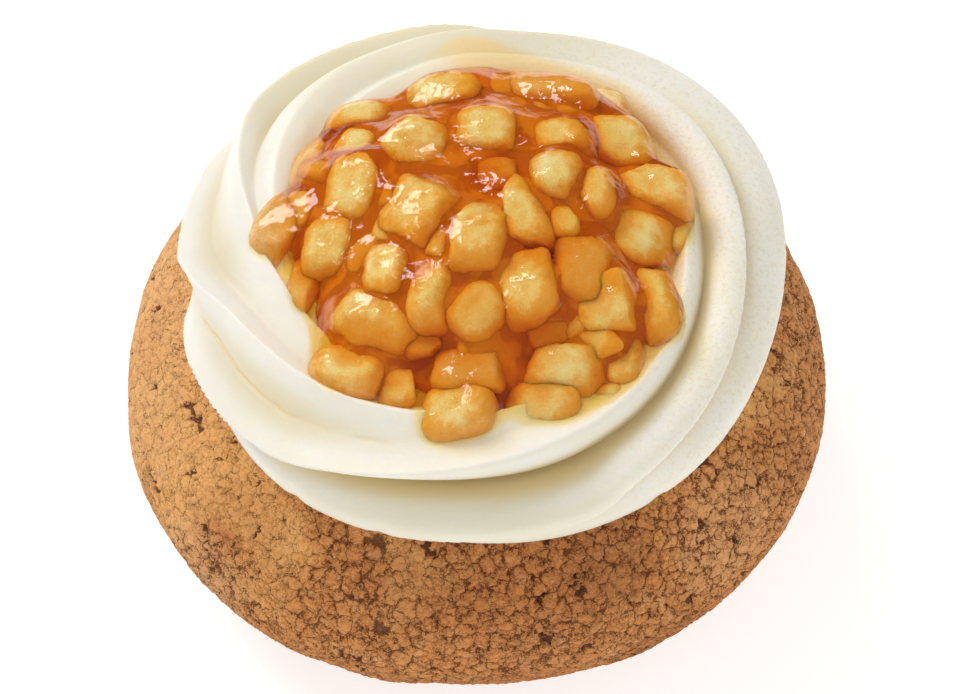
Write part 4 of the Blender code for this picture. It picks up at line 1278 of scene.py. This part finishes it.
def syrup_material():
    mat, n, shader = new_material("amber_syrup")
    tree = mat.node_tree
    tree.nodes.remove(shader)
    out = tree.nodes["Material Output"]
    coord = n.new("ShaderNodeNewGeometry").outputs["Position"]
    over = n.new("ShaderNodeAttribute", attribute_name="over").outputs["Fac"]
    wave = n.math("ADD", n.math("MULTIPLY", n.noise(coord, 400.0, 1.0, 0.45), 0.45),
                  n.math("MULTIPLY", n.noise(coord, 950.0, 1.0, 0.5), 0.12))
    # the pulp shows through where the glaze is thin
    thin = n.ramp(over, 0.16, 0.75, 1.0, 0.06)
    patch = n.ramp(n.noise(n.vec("ADD", coord, (0.03, 0.01, 0.02)), 230.0, 1.0, 0.5), 0.50, 0.64, 0.36, 0.95)
    ripple = n.math("MULTIPLY", n.math("MULTIPLY", n.noise(coord, 1500.0, 3.0, 0.65), thin), patch)
    bead = n.math("MULTIPLY", n.ramp(n.voronoi(coord, 900.0, "F1"), 0.0, 0.16, 0.09, 0.0),
                  n.ramp(n.noise(coord, 260.0, 1.0, 0.5), 0.46, 0.60))
    height = n.math("ADD", n.math("ADD", wave, ripple), bead)
    bump = n.new("ShaderNodeBump", {"Height": height, "Distance": MM, "Strength": 0.8})
    glass = n.new("ShaderNodeBsdfPrincipled")
    glass.inputs["Base Color"].default_value = (1, 1, 1, 1)
    glass.inputs["Roughness"].default_value = 0.03
    glass.inputs["IOR"].default_value = 1.46
    glass.inputs["Transmission Weight"].default_value = 1.0
    n.put(glass.inputs["Normal"], bump.outputs[0])
    clear = n.new("ShaderNodeBsdfTransparent", {"Color": (1, 1, 1, 1)})
    path = n.new("ShaderNodeLightPath")
    # lamps and the light that the flesh gives off pass straight through
    inner = n.new("ShaderNodeMixShader")
    n.put(inner.inputs[0], path.outputs["Is Diffuse Ray"])
    tree.links.new(glass.outputs[0], inner.inputs[1])
    tree.links.new(clear.outputs[0], inner.inputs[2])
    mix = n.new("ShaderNodeMixShader")
    n.put(mix.inputs[0], path.outputs["Is Shadow Ray"])
    tree.links.new(inner.outputs[0], mix.inputs[1])
    tree.links.new(clear.outputs[0], mix.inputs[2])
    tree.links.new(mix.outputs[0], out.inputs["Surface"])
    volume = n.new("ShaderNodeVolumeAbsorption", {"Color": (0.976, 0.830, 0.22, 1.0), "Density": 570.0})
    tree.links.new(volume.outputs[0], out.inputs["Volume"])
    return mat


# ================================================================ build
bun = make_bun()
relieve_bun(bun)
bun.data.materials.append(crust_material())
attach(bun, "root")
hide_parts("choux_bun")

cream = make_cream()
cream.data.materials.append(cream_material())
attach(cream, "root")
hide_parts("cream_swirl")

front_dice = dice_list()
lower_dice = filler_list(front_dice)
dice = make_dice("fruit_dice", front_dice, 16)
low = make_dice("fruit_dice_lower", lower_dice, 8)
grid, grid_lo, grid_shape = film_grid(front_dice + lower_dice)
core = make_core(grid, grid_lo, grid_shape)
flesh = fruit_material()
for piece in (dice, low, core):
    piece.data.materials.append(flesh)
    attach(piece, "root")
film = make_film(grid, grid_lo, grid_shape, (dice, low, core))
film.data.materials.append(syrup_material())
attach(film, "root")
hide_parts("fruit_heap")

# ---- floor and light
floor_mesh = bpy.data.meshes.new("floor")
floor_mesh.from_pydata([(-3, -3, 0), (3, -3, 0), (3, 3, 0), (-3, 3, 0)], [], [(0, 1, 2, 3)])
floor = bpy.data.objects.new("floor", floor_mesh)
scene.collection.objects.link(floor)
floor_mat, fn, fs = new_material("pale_floor")
fs.inputs["Base Color"].default_value = (0.55, 0.55, 0.55, 1)
fs.inputs["Roughness"].default_value = 0.9
fs.inputs["Specular IOR Level"].default_value = 0.0
fs.inputs["Emission Color"].default_value = (1, 1, 1, 1)
fs.inputs["Emission Strength"].default_value = 0.70
floor_mesh.materials.append(floor_mat)
floor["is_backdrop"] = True

world = bpy.data.worlds.new("studio")
scene.world = world
world.use_nodes = True
# the room is brighter on the side that the camera looks from
wn = Nodes(world.node_tree)
toward = wn.vec("DOT_PRODUCT", wn.new("ShaderNodeTexCoord").outputs["Generated"], (-0.45, 0.90, 0.0))
glow = wn.ramp(toward, -0.35, 0.45, 0.80, 0.36)
# and mirror-like reflections mostly show dark walls
path = wn.new("ShaderNodeLightPath")
mirror = wn.math("SUBTRACT", path.outputs["Is Glossy Ray"], path.outputs["Is Transmission Ray"], clamp=True)
glow = wn.math("MULTIPLY", glow, wn.mixf(mirror, 1.0, 0.3))
world.node_tree.nodes["Background"].inputs[0].default_value = (1.0, 0.976, 0.910, 1)
wn.put(world.node_tree.nodes["Background"].inputs[1], glow)


def area(name, at, size, power, colour=(1, 1, 1), aim=(0, 0, 0.03)):
    data = bpy.data.lights.new(name, "AREA")
    data.shape = "RECTANGLE"
    data.size, data.size_y = size
    data.energy = power
    data.color = colour
    lamp = bpy.data.objects.new(name, data)
    scene.collection.objects.link(lamp)
    lamp.location = Vector(at)
    lamp.rotation_euler = (Vector(aim) - Vector(at)).to_track_quat("-Z", "Y").to_euler()
    return lamp


area("key", (-0.49, 0.45, 0.56), (0.30, 0.30), 2.90, (1.0, 0.995, 1.0))
area("top", (-0.20, 0.48, 0.74), (0.15, 0.15), 0.90)
area("above", (-0.36, 0.08, 0.90), (0.16, 0.08), 0.45)

scene.view_settings.view_transform = "Standard"
scene.view_settings.look = "None"

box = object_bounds()
print("cad box", cad_box, "visual box", box)
for o in (bun, cream, dice, low, core, film):
    o.data.calc_loop_triangles()
    print(o.name, "triangles", len(o.data.loop_triangles))
